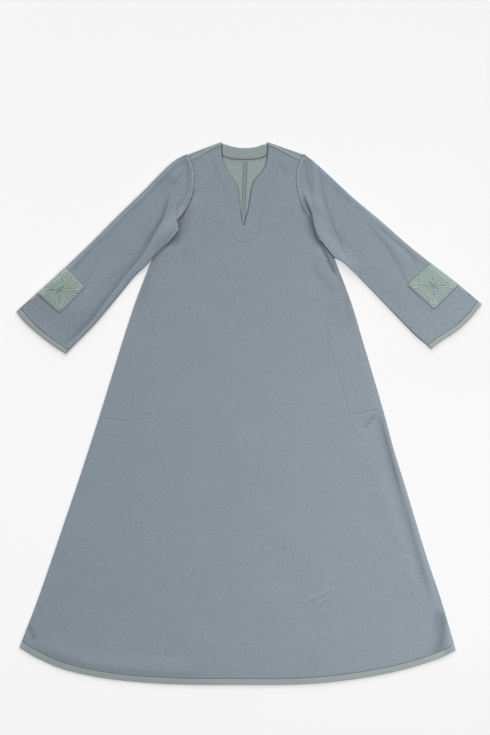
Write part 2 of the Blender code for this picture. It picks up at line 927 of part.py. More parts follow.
def make_welt(side, sleeve_face):
    """The felled armhole seam: the sleeve's first row of points, moved out."""
    first = 1 + len(EDGE_INSETS)
    columns = list(range(first, first + len(SLEEVE_SHARES) - 1))
    net = strip_net(SLEEVE_ROWS[:2], columns)

    def moved_out(distance):
        def place(row, column):
            x, y, z = sleeve_face(row, column)
            return x, y, z + distance

        return place

    outer, inner = moved_out(SEAM_GAP + TRIM), moved_out(SEAM_GAP)
    sewn("armhole_welt_" + side, net, outer, inner, BLUE_GREY)


def make_cuff_band(side):
    def top(point):
        return CUFF_LAID

    def under(point):
        return 0.0

    net = tube_net((0, 1), len(RING))
    outer, inner = flattened_tube(cuff_patch(side), top, under, BAND_WALL)
    sewn("cuff_band_" + side, net, outer, inner, SAGE)


def patch_rays():
    """Where rays meet a unit square's rim, and which are raised; the fold is at y = 0."""
    even = [(part / PATCH_SIDE_RAYS, part % 2 == 1) for part in range(PATCH_SIDE_RAYS)]
    up = [even[0], *[(turn, False) for turn in PATCH_FOLD_TURNS], *even[1:]]
    down = [(1.0, False), *up[:0:-1]]
    rays = [(x, 0.0, raised) for x, raised in even]
    rays += [(1.0, y, raised) for y, raised in up]
    rays += [(1 - x, 1.0, raised) for x, raised in even]
    rays += [(0.0, y, raised) for y, raised in down]
    return rays


def make_patch(side):
    """An embroidered square with raised rays, turned over the sleeve's outer fold."""
    (start, end), (inner_start, inner_end) = PATCHES[side]
    fold = curve_through(SLEEVE_OUTER[side])
    first = Vector(inner_start) - fold.at(start)
    last = Vector(inner_end) - fold.at(end)
    rays = patch_rays()

    def place(ray, ring, distance):
        x, y, _ = rays[round(ray)]
        along = 0.5 + ring * (x - 0.5)
        across = 0.5 + ring * (y - 0.5)
        way = first.lerp(last, along)
        depth = across * way.length
        rounding = math.sqrt(1 - (1 - min(depth / PATCH_ROLL, 1.0)) ** 2)
        point = fold.at(start + (end - start) * along) + across * way
        point -= distance * math.sqrt(1 - rounding**2) * way.normalized()
        return point.x, point.y, ROLL * (1 + rounding) + distance * rounding

    def outer(ray, ring):
        raised = ring > 0.9 or (ring > 0.2 and rays[round(ray)][2])
        return place(ray, ring, PATCH_GAP + TRIM + PATCH_RELIEF * raised)

    def inner(ray, ring):
        return place(ray, ring, PATCH_GAP)

    sewn("patch_" + side, ray_net(len(rays), PATCH_RINGS), outer, inner, SAGE)


def main():
    clear_scene()
    robe = bpy.data.collections.new("thobe_robe")
    bpy.context.scene.collection.children.link(robe)
    make_front()
    make_hem_bands()
    make_back_trim()
    for side in SIDES:
        make_back(side)
        make_pocket(side)
        make_shoulder_strip(side)
        make_sleeve(side)
        make_cuff_band(side)
        make_patch(side)


main()
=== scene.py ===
"""A long-sleeved thobe robe of double-faced cloth, laid flat on a pale floor with its front up.

Metres: +X is the wearer's left, +Y runs up the robe to the neck, and the floor is at z = 0.
"""

import math

import bpy
import numpy as np
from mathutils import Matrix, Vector, geometry, kdtree


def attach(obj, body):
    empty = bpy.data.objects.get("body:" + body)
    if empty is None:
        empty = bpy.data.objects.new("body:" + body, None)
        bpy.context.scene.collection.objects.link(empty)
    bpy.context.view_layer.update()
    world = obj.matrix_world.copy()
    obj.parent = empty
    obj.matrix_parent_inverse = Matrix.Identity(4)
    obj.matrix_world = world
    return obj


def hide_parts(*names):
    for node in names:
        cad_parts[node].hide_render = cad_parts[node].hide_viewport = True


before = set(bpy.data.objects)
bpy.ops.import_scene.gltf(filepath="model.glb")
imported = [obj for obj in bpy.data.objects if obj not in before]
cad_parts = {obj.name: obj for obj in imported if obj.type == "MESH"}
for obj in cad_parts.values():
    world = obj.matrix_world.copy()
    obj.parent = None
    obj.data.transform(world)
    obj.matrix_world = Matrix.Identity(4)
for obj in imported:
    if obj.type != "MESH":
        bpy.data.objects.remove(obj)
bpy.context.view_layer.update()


# --- floor, light and camera -------------------------------
# The robe lies on a pale studio floor. A low broad light stands beyond the neck, so that the
# hem and the lower edges of the sleeves throw a soft shadow; one high on the right brightens
# that side, and a weak one fills the other. The camera looks down through a long lens.

scene = bpy.context.scene
scene.view_settings.view_transform = "Standard"


def new_object(name, data):
    made = bpy.data.objects.new(name, data)
    scene.collection.objects.link(made)
    return made


def new_mesh(name, points, faces, edges=()):
    mesh = bpy.data.meshes.new(name)
    mesh.from_pydata(np.asarray(points, float).tolist(), edges, faces)
    mesh.update()
    return new_object(name, mesh)


def add_node(tree, kind, inputs=None, **settings):
    """A node with its settings, and its inputs given values or linked to sockets."""
    made = tree.nodes.new(kind)
    for setting, value in settings.items():
        setattr(made, setting, value)
    for socket, value in (inputs or {}).items():
        if isinstance(value, bpy.types.NodeSocket):
            tree.links.new(value, made.inputs[socket])
        else:
            made.inputs[socket].default_value = value
    return made


def math_node(tree, operation, first, second=0.0, third=0.0):
    made = add_node(tree, "ShaderNodeMath", operation=operation)
    for socket, value in zip(made.inputs, (first, second, third)):
        if isinstance(value, bpy.types.NodeSocket):
            tree.links.new(value, socket)
        else:
            socket.default_value = value
    return made.outputs[0]


def ramp(tree, value, start, end):
    """A level that runs from start to end, each a place and its level, and is flat beyond."""
    made = add_node(tree, "ShaderNodeMapRange", {"Value": value})
    for bound, (place, level) in (("Min", start), ("Max", end)):
        made.inputs["From " + bound].default_value = place
        made.inputs["To " + bound].default_value = level
    return made.outputs["Result"]


def surface(name):
    """A new material, its node tree, and its Principled shader."""
    material = bpy.data.materials.new(name)
    material.use_nodes = True
    return material, material.node_tree, material.node_tree.nodes["Principled BSDF"]


floor_paint, tree, shader = surface("floor_paint")
where = add_node(tree, "ShaderNodeTexCoord").outputs["Object"]
x, y, _ = add_node(tree, "ShaderNodeSeparateXYZ", {"Vector": where}).outputs
across = ramp(tree, x, (-0.66, 0.705), (0.66, 0.520))
beside = ramp(tree, x, (-0.6, 0.0), (0.6, 1.0))
beyond = ramp(tree, y, (0.1, 0.0), (1.1, 0.11))
tree.links.new(math_node(tree, "MULTIPLY_ADD", beside, beyond, across), shader.inputs["Base Color"])
shader.inputs["Roughness"].default_value = 0.9
shader.inputs["Specular IOR Level"].default_value = 0.1
shader.inputs["Emission Color"].default_value = (1.0, 1.0, 1.0, 1.0)
shader.inputs["Emission Strength"].default_value = 0.31

FLOOR_HALF = 6.0
FLOOR_HEIGHT = -0.0002
corners = [(-1, -1), (1, -1), (1, 1), (-1, 1)]
corners = [(x * FLOOR_HALF, y * FLOOR_HALF, FLOOR_HEIGHT) for x, y in corners]
floor = new_mesh("floor", corners, [(0, 1, 2, 3)])
floor.data.materials.append(floor_paint)

world = bpy.data.worlds.new("studio")
world.use_nodes = True
sky = world.node_tree
where = add_node(sky, "ShaderNodeTexCoord").outputs["Generated"]
_, y, _ = add_node(sky, "ShaderNodeSeparateXYZ", {"Vector": where}).outputs
sky.links.new(ramp(sky, y, (-0.8, 0.06), (0.8, 0.44)), sky.nodes["Background"].inputs["Strength"])
sky.nodes["Background"].inputs["Color"].default_value = (1.0, 1.0, 1.0, 1.0)
scene.world = world


def soft_light(name, spot, target, size, watts):
    lamp = bpy.data.lights.new(name, "AREA")
    lamp.shape = "RECTANGLE"
    lamp.size, lamp.size_y = size
    lamp.energy = watts
    made = new_object(name, lamp)
    made.location = spot
    made.rotation_euler = (Vector(target) - Vector(spot)).to_track_quat("-Z", "Y").to_euler()


soft_light("light_right", (1.5, -0.35, 1.9), (0.1, -0.2, 0.0), (1.0, 1.4), 33.5)
soft_light("light_left", (-2.0, 2.4, 2.4), (-0.2, 0.1, 0.0), (1.6, 1.6), 18)
sun = bpy.data.lights.new("light_beyond_neck", "SUN")
sun.energy = 2.85
sun.angle = math.radians(46)
sun_lamp = new_object("light_beyond_neck", sun)
sun_lamp.rotation_euler = Vector((-0.10, -1.0, -0.36)).to_track_quat("-Z", "Y").to_euler()

CAMERA_HEIGHT = 3.5
FIELD_LENGTH = 1.9735
camera = new_object("camera", bpy.data.cameras.new("camera"))
camera.location = (-0.011, 0.1235, CAMERA_HEIGHT)
camera.data.lens = camera.data.sensor_width * CAMERA_HEIGHT / FIELD_LENGTH
scene.camera = camera


# --- the cloth ---------------------------------------------
# One soft double-faced cloth makes the robe: blue-grey yarn outside, sage yarn inside. It is close
# and matt, with a fine grain and a faint mottle; shade is painted into its colour in the deep
# creases, darker the deeper the crease.

grain = bpy.data.node_groups.new("cloth_grain", "ShaderNodeTree")
for name, way in (("Turn", "INPUT"), ("Shade", "OUTPUT"), ("Height", "OUTPUT")):
    grain.interface.new_socket(name, in_out=way, socket_type="NodeSocketFloat")
grain_in = grain.nodes.new("NodeGroupInput")
grain_out = grain.nodes.new("NodeGroupOutput")


def noise(tree, vector, scale, detail=2.0):
    values = {"Vector": vector, "Scale": scale, "Detail": detail}
    return add_node(tree, "ShaderNodeTexNoise", values).outputs["Fac"]


def weighted(tree, parts, total=0.0):
    """The total and the parts, each times its weight."""
    for part, weight in parts:
        total = math_node(tree, "MULTIPLY_ADD", part, weight, total)
    return total


def wave(tree, value, pitch):
    return math_node(tree, "SINE", math_node(tree, "MULTIPLY", value, math.pi / pitch))


where = add_node(grain, "ShaderNodeTexCoord").outputs["Object"]
turn = add_node(grain, "ShaderNodeCombineXYZ", {"Z": grain_in.outputs["Turn"]})
turned = add_node(grain, "ShaderNodeMapping", {"Vector": where, "Rotation": turn.outputs[0]})
drawn_out = {"Vector": turned.outputs[0], "Scale": (0.62, 1.0, 1.0)}
mottle = noise(grain, add_node(grain, "ShaderNodeMapping", drawn_out).outputs[0], 225.0)
fibre = noise(grain, turned.outputs[0], 1500.0, 1.0)
broad = noise(grain, turned.outputs[0], 9.0)
YARN_PITCH = 0.0011
x, y, _ = add_node(grain, "ShaderNodeSeparateXYZ", {"Vector": turned.outputs[0]}).outputs
crossed = math_node(grain, "MULTIPLY", wave(grain, x, YARN_PITCH), wave(grain, y, YARN_PITCH))
weave = math_node(grain, "MULTIPLY_ADD", crossed, 0.5, 0.5)
# Painted shade: the crease depth stored on the pieces darkens the cloth's colour in its creases.
crease_shade = add_node(grain, "ShaderNodeAttribute", attribute_name="crease_shade").outputs["Fac"]
parts = ((mottle, 0.85), (fibre, 0.20), (weave, 0.10), (broad, 0.12), (crease_shade, -0.70))
grain.links.new(weighted(grain, parts, -0.135), grain_out.inputs["Shade"])
parts = ((weave, 0.35), (fibre, 0.35), (mottle, 0.60))
grain.links.new(weighted(grain, parts), grain_out.inputs["Height"])


def cloth(name, colour, turn=0.0, contrast=0.24):
    """Matt woven cloth of one colour, with its grain turned to follow the piece's cut."""
    material, tree, shader = surface(name)
    woven = add_node(tree, "ShaderNodeGroup", node_tree=grain)
    woven.inputs["Turn"].default_value = turn
    shade = {"Factor": woven.outputs["Shade"]}
    tint = add_node(tree, "ShaderNodeMix", shade, data_type="RGBA", clamp_factor=False)
    tint.inputs["A"].default_value = (*[part * (1 - contrast) for part in colour], 1.0)
    tint.inputs["B"].default_value = (*[part * (1 + contrast) for part in colour], 1.0)
    tree.links.new(tint.outputs["Result"], shader.inputs["Base Color"])
    relief = {"Height": woven.outputs["Height"], "Distance": 0.00035, "Strength": 0.4}
    bump = add_node(tree, "ShaderNodeBump", relief)
    tree.links.new(bump.outputs["Normal"], shader.inputs["Normal"])
    shader.inputs["Roughness"].default_value = 0.92
    shader.inputs["Specular IOR Level"].default_value = 0.18
    shader.inputs["Sheen Weight"].default_value = 0.08
    shader.inputs["Sheen Roughness"].default_value = 0.6
    return material


BLUE_GREY = (0.240, 0.283, 0.322)
SAGE = (0.285, 0.351, 0.336)
outer_cloth = cloth("blue_grey_cloth", BLUE_GREY)
inner_cloth = cloth("sage_cloth", SAGE)
# A darker blue-grey for the rims of the front and the neck band: painted shade along the cloth's
# edges.
rim_shade_cloth = cloth("painted_edge_shade", (0.150, 0.172, 0.190))


# --- front -------------------------------------------------
# The front is one flared panel with no centre seam. Its curved neckline runs down into a
# narrow slit, faced inside; the facing and both pocket bags are topstitched through it.

SIDES = {"right": -1, "left": 1}
LAID = 0.0052
SIDE_LAID = 0.0035
HEM_SEAM_LAID = 0.0049
WALL = 0.0016
SIDE_ROLL = 0.020
HEM_BAND = 0.017

HEM = (
    (-0.616, -0.627), (-0.567, -0.656), (-0.490, -0.688), (-0.373, -0.712),
    (-0.217, -0.7255), (-0.024, -0.7278), (0.137, -0.7265), (0.266, -0.715),
    (0.395, -0.692), (0.500, -0.661), (0.5545, -0.635),
)
SIDE_SEAMS = {
    "right": (
        (-0.616, -0.627), (-0.567, -0.500), (-0.532, -0.400), (-0.498, -0.300),
        (-0.464, -0.200), (-0.431, -0.100), (-0.399, 0.000), (-0.368, 0.100),
        (-0.337, 0.200), (-0.304, 0.300), (-0.262, 0.410),
    ),
    "left": (
        (0.5545, -0.635), (0.515, -0.500), (0.481, -0.400), (0.450, -0.300),
        (0.420, -0.200), (0.389, -0.100), (0.362, 0.000), (0.333, 0.100),
        (0.303, 0.200), (0.273, 0.300), (0.228, 0.418),
    ),
}
UNDERARMS = {
    "right": ((-0.262, 0.410), (-0.226, 0.474), (-0.193, 0.518)),
    "left": ((0.228, 0.418),),
}
ARMHOLES = {
    "right": (
        (-0.193, 0.518), (-0.178, 0.535), (-0.161, 0.563), (-0.151, 0.592), (-0.147, 0.622),
        (-0.147, 0.647), (-0.152, 0.668), (-0.160, 0.686), (-0.1665, 0.694),
    ),
    "left": (
        (0.228, 0.418), (0.200, 0.453), (0.182, 0.472), (0.174, 0.495), (0.164, 0.523),
        (0.148, 0.547), (0.136, 0.573), (0.128, 0.606), (0.126, 0.641), (0.132, 0.668),
        (0.1455, 0.695),
    ),
}
NECKLINES = {
    "right": (
        (-0.0745, 0.703), (-0.0725, 0.686), (-0.063, 0.659), (-0.050, 0.638), (-0.038, 0.622),
        (-0.031, 0.606), (-0.027, 0.576), (-0.024, 0.545), (-0.020, 0.515), (-0.014, 0.503),
    ),
    "left": (
        (0.051, 0.706), (0.050, 0.688), (0.045, 0.665), (0.033, 0.644), (0.014, 0.623),
        (0.007, 0.600), (0.003, 0.573), (-0.001, 0.550), (-0.007, 0.526), (-0.014, 0.503),
    ),
}
SHOULDER_FOLDS = {
    "right": ((-0.076, 0.728), (-0.1665, 0.694)),
    "left": ((0.052, 0.728), (0.1455, 0.695)),
}
# Share of the shoulder fold's length, and how far in front of it the seam lies there
SHOULDER_SEAM = ((0.02, 0.0052), (0.40, 0.0082), (0.66, 0.0124))
SHOULDER_SEAM_END = 0.0150
FACING = (
    (-0.108, 0.703), (-0.100, 0.676), (-0.089, 0.646), (-0.063, 0.596), (-0.055, 0.546),
    (-0.047, 0.493), (-0.036, 0.466), (-0.013, 0.458), (0.014, 0.468), (0.024, 0.496),
    (0.031, 0.539), (0.041, 0.577), (0.060, 0.615), (0.075, 0.654), (0.083, 0.700),
)
POCKET_STITCHES = (
    (
        (-0.2927, 0.3128), (-0.2739, 0.2894), (-0.2580, 0.2395), (-0.2621, 0.1936),
        (-0.2696, 0.1552), (-0.2889, 0.1090), (-0.3117, 0.0478), (-0.3252, -0.0175),
    ),
    ((-0.3252, -0.0205), (-0.3560, -0.0165), (-0.3885, -0.0137)),
    (
        (0.2229, 0.3450), (0.2137, 0.2932), (0.2059, 0.2320), (0.2137, 0.1858),
        (0.2328, 0.1246), (0.2521, 0.0553), (0.2674, 0.0016),
    ),
    ((0.2720, -0.0035), (0.3080, 0.0040), (0.3440, 0.0094)),
)
# Rise at the line, half widths on its left and right hand, and the line; a crease has a fall
FRONT_FOLDS = (
    (0.0022, 0.010, 0.024, ((0.358, 0.030), (0.371, -0.042), (0.403, -0.163), (0.435, -0.271),
        (0.457, -0.351), (0.484, -0.445), (0.499, -0.510))),
    (-0.0021, 0.013, 0.034, ((0.346, 0.030), (0.360, -0.044), (0.392, -0.165), (0.424, -0.273),
        (0.446, -0.353), (0.473, -0.447), (0.492, -0.530))),
    (-0.0014, 0.010, 0.022, ((0.345, 0.012), (0.360, -0.044), (0.376, -0.100), (0.392, -0.165),
        (0.408, -0.220))),
    (0.0010, 0.026, 0.040, ((0.300, -0.060), (0.362, -0.220), (0.402, -0.350), (0.446, -0.510))),
    (-0.0060, 0.006, 0.034, ((0.150, 0.576), (0.153, 0.5598), (0.1598, 0.5464), (0.1657, 0.533),
        (0.167, 0.5195), (0.1726, 0.4927), (0.188, 0.4658), (0.200, 0.442))),
    (-0.0068, 0.006, 0.011, ((0.1726, 0.4927), (0.188, 0.4658), (0.2014, 0.439), (0.2081, 0.4256),
        (0.2161, 0.4068), (0.2269, 0.3853), (0.2336, 0.364))),
    (-0.0016, 0.016, 0.050, ((0.238, 0.440), (0.242, 0.385), (0.262, 0.300), (0.282, 0.215))),
    (0.0014, 0.040, 0.036, ((0.172, 0.460), (0.200, 0.400), (0.236, 0.310), (0.262, 0.200))),
    (-0.0008, 0.016, 0.016, ((0.160, 0.402), (0.190, 0.360), (0.216, 0.336), (0.238, 0.318))),
    (0.0012, 0.040, 0.040, ((-0.180, 0.490), (-0.222, 0.390), (-0.244, 0.300), (-0.262, 0.200))),
    (-0.0012, 0.030, 0.020, ((-0.240, 0.445), (-0.266, 0.380), (-0.286, 0.320), (-0.300, 0.250))),
    (-0.0030, 0.030, 0.030, ((-0.166, 0.570), (-0.1745, 0.541), (-0.1826, 0.506), (-0.1906, 0.471),
        (-0.2121, 0.439))),
    (-0.0024, 0.010, 0.014, ((-0.180, 0.520), (-0.192, 0.490), (-0.208, 0.466), (-0.228, 0.442))),
    (0.0024, 0.022, 0.024, ((-0.135, 0.590), (-0.140, 0.560), (-0.148, 0.506), (-0.158, 0.452),
        (-0.175, 0.420))),
    (0.0010, 0.006, 0.006, ((0.140, -0.507), (0.185, -0.490), (0.232, -0.466))),
    (0.0008, 0.006, 0.006, ((0.170, -0.516), (0.205, -0.500), (0.240, -0.478))),
    (0.0040, 0.006, 0.022, ((0.516, -0.500), (0.5245, -0.525), (0.5330, -0.560), (0.5400, -0.608),
        (0.5370, -0.655))),
    (-0.0010, 0.012, 0.012, ((0.502, -0.520), (0.500, -0.560), (0.488, -0.610))),
    (-0.0040, 0.018, 0.040, ((0.5225, -0.520), (0.520, -0.548), (0.5158, -0.610), (0.508, -0.650),
        (0.500, -0.695))),
    (0.0013, 0.017, 0.050, ((-0.100, -0.6935), (-0.215, -0.6915), (-0.370, -0.678),
        (-0.480, -0.655), (-0.545, -0.628), (-0.590, -0.600))),
    (-0.0022, 0.010, 0.014, ((-0.592, -0.566), (-0.583, -0.590), (-0.573, -0.614))),
    (-0.0009, 0.007, 0.007, ((-0.574, -0.498), (-0.564, -0.515), (-0.557, -0.535))),
    (-0.0018, 0.010, 0.014, ((0.336, -0.004), (0.322, -0.026), (0.306, -0.046))),
    (-0.0008, 0.012, 0.012, ((0.078, 0.680), (0.090, 0.655), (0.105, 0.630))),
)


def smooth(points, parts=12):
    """A smooth line through the points."""
    points = np.array(points, float)
    ends = np.vstack([2 * points[0] - points[1], points, 2 * points[-1] - points[-2]])
    t = (np.arange(parts) / parts)[:, None]
    chain = []
    for before, start, end, after in zip(ends, ends[1:], ends[2:], ends[3:]):
        bent = (2 * before - 5 * start + 4 * end - after) * t**2
        turned = (3 * start - before - 3 * end + after) * t**3
        chain.append(0.5 * (2 * start + (end - before) * t + bent + turned))
    return np.vstack([*chain, points[-1:]])


def lengths(line):
    steps = np.linalg.norm(np.diff(line, axis=0), axis=1)
    return np.concatenate([[0.0], np.cumsum(steps)])


def at(line, shares):
    """Points of a line at shares of its length."""
    reach = lengths(line)
    wanted = np.asarray(shares, float) * reach[-1]
    return np.stack([np.interp(wanted, reach, part) for part in line.T], -1)


def spaced(line, step):
    count = max(1, round(lengths(line)[-1] / step))
    return at(line, np.linspace(0, 1, count + 1))


def aside(line, distance):
    """The line moved to its right-hand side."""
    along = np.gradient(line, axis=0)
    along /= np.linalg.norm(along, axis=1)[:, None]
    return line + distance * np.stack([along[:, 1], -along[:, 0]], -1)


def nearest(line, points):
    """How far each point is from a line, at what share of it, and whether on its right."""
    reach = lengths(line)
    best = np.full(len(points), np.inf)
    share = np.zeros(len(points))
    right = np.zeros(len(points), bool)
    for index, (start, end) in enumerate(zip(line, line[1:])):
        way = end - start
        if way @ way < 1e-16:
            continue
        part = np.clip((points - start) @ way / (way @ way), 0, 1)
        off = points - start - part[:, None] * way
        distance = (off**2).sum(1)
        closer = distance < best
        best[closer] = distance[closer]
        share[closer] = (reach[index] + part * (reach[index + 1] - reach[index]))[closer]
        right[closer] = (off[:, 0] * way[1] - off[:, 1] * way[0] > 0)[closer]
    return np.sqrt(best), share / reach[-1], right


def ease(value):
    value = np.clip(value, 0, 1)
    return value * value * (3 - 2 * value)


FOLD_TAPER = 0.2


def fold_lift(points, folds):
    """How far the folds lift or sink the cloth: ridges are round, creases sharp."""
    lift = np.zeros(len(points))
    for rise, on_left, on_right, route in folds:
        line = smooth(route, 6)
        reach = max(on_left, on_right)
        near = ((points > line.min(0) - reach) & (points < line.max(0) + reach)).all(1)
        if not near.any():
            continue
        distance, share, right = nearest(line, points[near])
        part = np.clip(distance / np.where(right, on_right, on_left), 0, 1)
        profile = np.cos(0.5 * np.pi * part) ** 2 if rise > 0 else (1 - part) ** 2
        lift[near] += rise * profile * ease(np.minimum(share, 1 - share) / FOLD_TAPER)
    return lift


# How deep a crease must be for its full painted shade, and the darkest share of that painted shade
FULL_SHADE_DEPTH = 0.0040
DARKEST_SHADE = 1.4


def paint_crease_shade(piece, points, folds, shown=True):
    """Stores how deep in a crease each of the piece's outer points lies, as painted shade that
    darkens the cloth's colour there.
    """
    depth = np.zeros(len(points))
    for fold in folds:
        if fold[0] < 0:
            depth -= fold_lift(points, [fold])
    shade = np.zeros(len(piece.data.vertices), np.float32)
    shade[: len(points)] = np.clip(depth / FULL_SHADE_DEPTH, 0, DARKEST_SHADE) * shown
    piece.data.attributes.new("crease_shade", "FLOAT", "POINT").data.foreach_set("value", shade)


SOFT = 0.0006


def no_lower(heights, least):
    """The heights, levelled out softly where they would sink below the least."""
    above = heights - least
    return least + 0.5 * (above + np.sqrt(above**2 + SOFT**2))


def waves(points, size, seed, cells=48):
    """Slow random waves of about that size, from a fixed seed."""
    lattice = np.random.default_rng(seed).standard_normal((cells, cells))
    spot = points / size + 20
    cell = np.floor(spot).astype(int)
    across, along = ease(spot - cell).T
    (x, y), (next_x, next_y) = cell.T % cells, (cell.T + 1) % cells
    low = lattice[x, y] * (1 - across) + lattice[next_x, y] * across
    top = lattice[x, next_y] * (1 - across) + lattice[next_x, next_y] * across
    return low * (1 - along) + top * along


hem_line = smooth(HEM)
side_lines = {side: smooth(SIDE_SEAMS[side]) for side in SIDES}
armhole_lines = {side: smooth(ARMHOLES[side]) for side in SIDES}


def side_foot(side):
    """Where the side seam crosses the hem band's seam."""
    lowest = spaced(side_lines[side], HEM_BAND / 100)[:400]
    return lowest[np.argmax(nearest(hem_line, lowest)[0] >= HEM_BAND)]


feet = {side: side_foot(side) for side in SIDES}
hem_seam = aside(hem_line, -HEM_BAND)
hem_seam = hem_seam[(hem_seam[:, 0] > feet["right"][0]) & (hem_seam[:, 0] < feet["left"][0])]
hem_seam = np.vstack([feet["right"], hem_seam, feet["left"]])


def side_rise(side):
    """The side seam from just above its foot."""
    line = side_lines[side]
    return line[line[:, 1] > feet[side][1] + 0.004]


def low_edge(side):
    """The body's edge where front and back meet, from the hem band up past the underarm."""
    under = np.array(UNDERARMS[side][1:]).reshape(-1, 2)
    start = armhole_lines[side][armhole_lines[side][:, 1] <= ARMHOLES[side][3][1]]
    return np.vstack([feet[side], side_rise(side), under[:-1], start])


low_edges = {side: low_edge(side) for side in SIDES}


NEAR_HEM = -0.55
NECK_CALM, CALM_REACH = 0.735, 0.06
FRONT_LEAST = 0.0033


def front_top(points):
    """Height of the front's upper face, which is calm at the neck and level at the hem seam."""
    right, left = [nearest(low_edges[side], points)[0] for side in SIDES]
    inset = np.minimum(right, left)
    dome = np.sin(0.5 * np.pi * np.clip(inset / SIDE_ROLL, 0, 1))
    above_hem = np.full(len(points), LAID)
    low = points[:, 1] < NEAR_HEM
    from_hem = ease(nearest(hem_seam, points[low])[0] / SIDE_ROLL)
    above_hem[low] -= (LAID - HEM_SEAM_LAID) * (1 - from_hem)
    level = np.minimum(SIDE_LAID + (LAID - SIDE_LAID) * dome, above_hem)
    slow = 0.00032 * waves(points, 0.110, 3) + 0.00014 * waves(points, 0.040, 5)
    calm = ease((NECK_CALM - points[:, 1]) / CALM_REACH)
    return no_lower(level + (fold_lift(points, FRONT_FOLDS) + slow * calm) * dome, FRONT_LEAST)


def shoulder_frame(side):
    """The neck end of the shoulder fold, the ways along it and out over it, and its length."""
    neck, tip = np.array(SHOULDER_FOLDS[side])
    along = (tip - neck) / np.linalg.norm(tip - neck)
    out = -SIDES[side] * np.array([along[1], -along[0]])
    return neck, along, out, np.linalg.norm(tip - neck)


def armhole_at_depth(side, depth):
    """Where the armhole crosses the line that lies a depth in front of the shoulder fold."""
    neck, _, out, _ = shoulder_frame(side)
    points = armhole_lines[side][::-1]
    depths = np.maximum.accumulate((neck - points) @ out)
    return np.array([np.interp(depth, depths, part) for part in points.T])


def shoulder_seam(side):
    """The shoulder seam from the neck out."""
    neck, along, out, length = shoulder_frame(side)
    points = [neck + share * length * along - depth * out for share, depth in SHOULDER_SEAM]
    return smooth([*points, armhole_at_depth(side, SHOULDER_SEAM_END)])


def armhole_below(side, depth):
    """The armhole from the underarm up to a depth in front of the shoulder fold."""
    neck, _, out, _ = shoulder_frame(side)
    line = armhole_lines[side]
    return np.vstack([line[(neck - line) @ out > depth], armhole_at_depth(side, depth)])


def neckline_from(side):
    """The neckline from the shoulder seam down to the slit's bottom."""
    return smooth([shoulder_seam(side)[0], *NECKLINES[side]])


def front_half(side):
    """The front's edge from the foot of the side seam up, and round to the slit's bottom."""
    rising = side_rise(side)
    under = smooth([rising[-1], *UNDERARMS[side][1:]]) if len(UNDERARMS[side]) > 1 else rising[-1:]
    up_the_side = np.vstack([feet[side], rising, under[1:]])
    armhole = armhole_below(side, SHOULDER_SEAM_END)
    return [up_the_side, armhole, shoulder_seam(side)[::-1], neckline_from(side)]


def joined(parts, step):
    """Lines end to end, evenly spaced, with each shared corner once."""
    return np.vstack([spaced(part, step)[:-1] for part in parts])


def kd_of(points):
    tree = kdtree.KDTree(len(points))
    for index, point in enumerate(points):
        tree.insert((*point, 0.0), index)
    tree.balance()
    return tree


def kd_distance(tree, points):
    return np.array([tree.find((*point, 0.0))[2] for point in points])


def panel_net(outline, step, insets=(), features=()):
    """A flat panel cut into triangles: close along its rim and its features, even elsewhere."""
    loop = np.vstack([outline, outline[:1]])
    rim = kd_of(spaced(loop, 0.001))
    points = [outline]
    for inset in insets:
        for row in (aside(loop, inset), aside(loop, -inset)):
            points.append(row[kd_distance(rim, row) > 0.96 * inset])
    clear_of_rim = max(insets, default=0.0) + 0.0012
    for line, offsets in features:
        for offset in offsets:
            row = aside(line, offset)
            points.append(row[kd_distance(rim, row) > clear_of_rim])
    close = np.vstack(points)
    near = kd_of(close)
    low, high = outline.min(0), outline.max(0)
    rows = np.arange(low[1], high[1], step * math.sqrt(0.75))
    columns = np.arange(low[0], high[0] + step, step)
    x, y = np.meshgrid(columns, rows)
    x[1::2] += 0.5 * step
    spread = np.stack([x.ravel(), y.ravel()], -1)
    spread = spread[kd_distance(near, spread) > 0.62 * step]
    points = np.vstack([close, spread])
    rim_face = [list(range(len(outline)))]
    vectors = [Vector(point) for point in points]
    found, _, faces, *_ = geometry.delaunay_2d_cdt(vectors, [], rim_face, 1, 1e-6)
    used = sorted({index for face in faces for index in face})
    place = {old: new for new, old in enumerate(used)}
    faces = [tuple(place[index] for index in face) for face in faces]
    return np.array([found[index] for index in used]), faces


def cloth_wall(name, faces, outer, inner, materials, bulge=0.0003):
    """A closed sheet of cloth: its outer face, its inner face, and a round rim between them."""
    outer, inner = np.asarray(outer, float), np.asarray(inner, float)
    through = outer - inner
    ways = np.array([face[:3] for face in faces])
    first, second, third = outer[ways[:, 0]], outer[ways[:, 1]], outer[ways[:, 2]]
    if (np.cross(second - first, third - first) * through[ways[:, 0]]).sum() < 0:
        faces = [face[::-1] for face in faces]
    sides = {(a, b) for face in faces for a, b in zip(face, (*face[1:], face[0]))}
    rim = sorted((a, b) for a, b in sides if (b, a) not in sides)
    outward = np.zeros_like(outer)
    for a, b in rim:
        push = np.cross(outer[b] - outer[a], through[a])
        push /= max(np.linalg.norm(push), 1e-12)
        outward[a] += push
        outward[b] += push
    edge = sorted({index for pair in rim for index in pair})
    push = outward[edge] / np.maximum(np.linalg.norm(outward[edge], axis=1), 1e-9)[:, None]
    middle = (outer[edge] + inner[edge]) / 2 + bulge * push
    count = len(outer)
    place = {index: 2 * count + number for number, index in enumerate(edge)}
    shell = [*faces, *[tuple(index + count for index in face[::-1]) for face in faces]]
    kinds = [0] * len(faces) + [1] * len(faces)
    for a, b in rim:
        shell += [(b, a, place[a], place[b]), (place[b], place[a], a + count, b + count)]
        kinds += [2, 2]
    piece = new_mesh(name, np.vstack([outer, inner, middle]), shell)
    for material in materials:
        piece.data.materials.append(material)
    piece.data.polygons.foreach_set("material_index", kinds)
    piece.data.shade_smooth()
    return piece


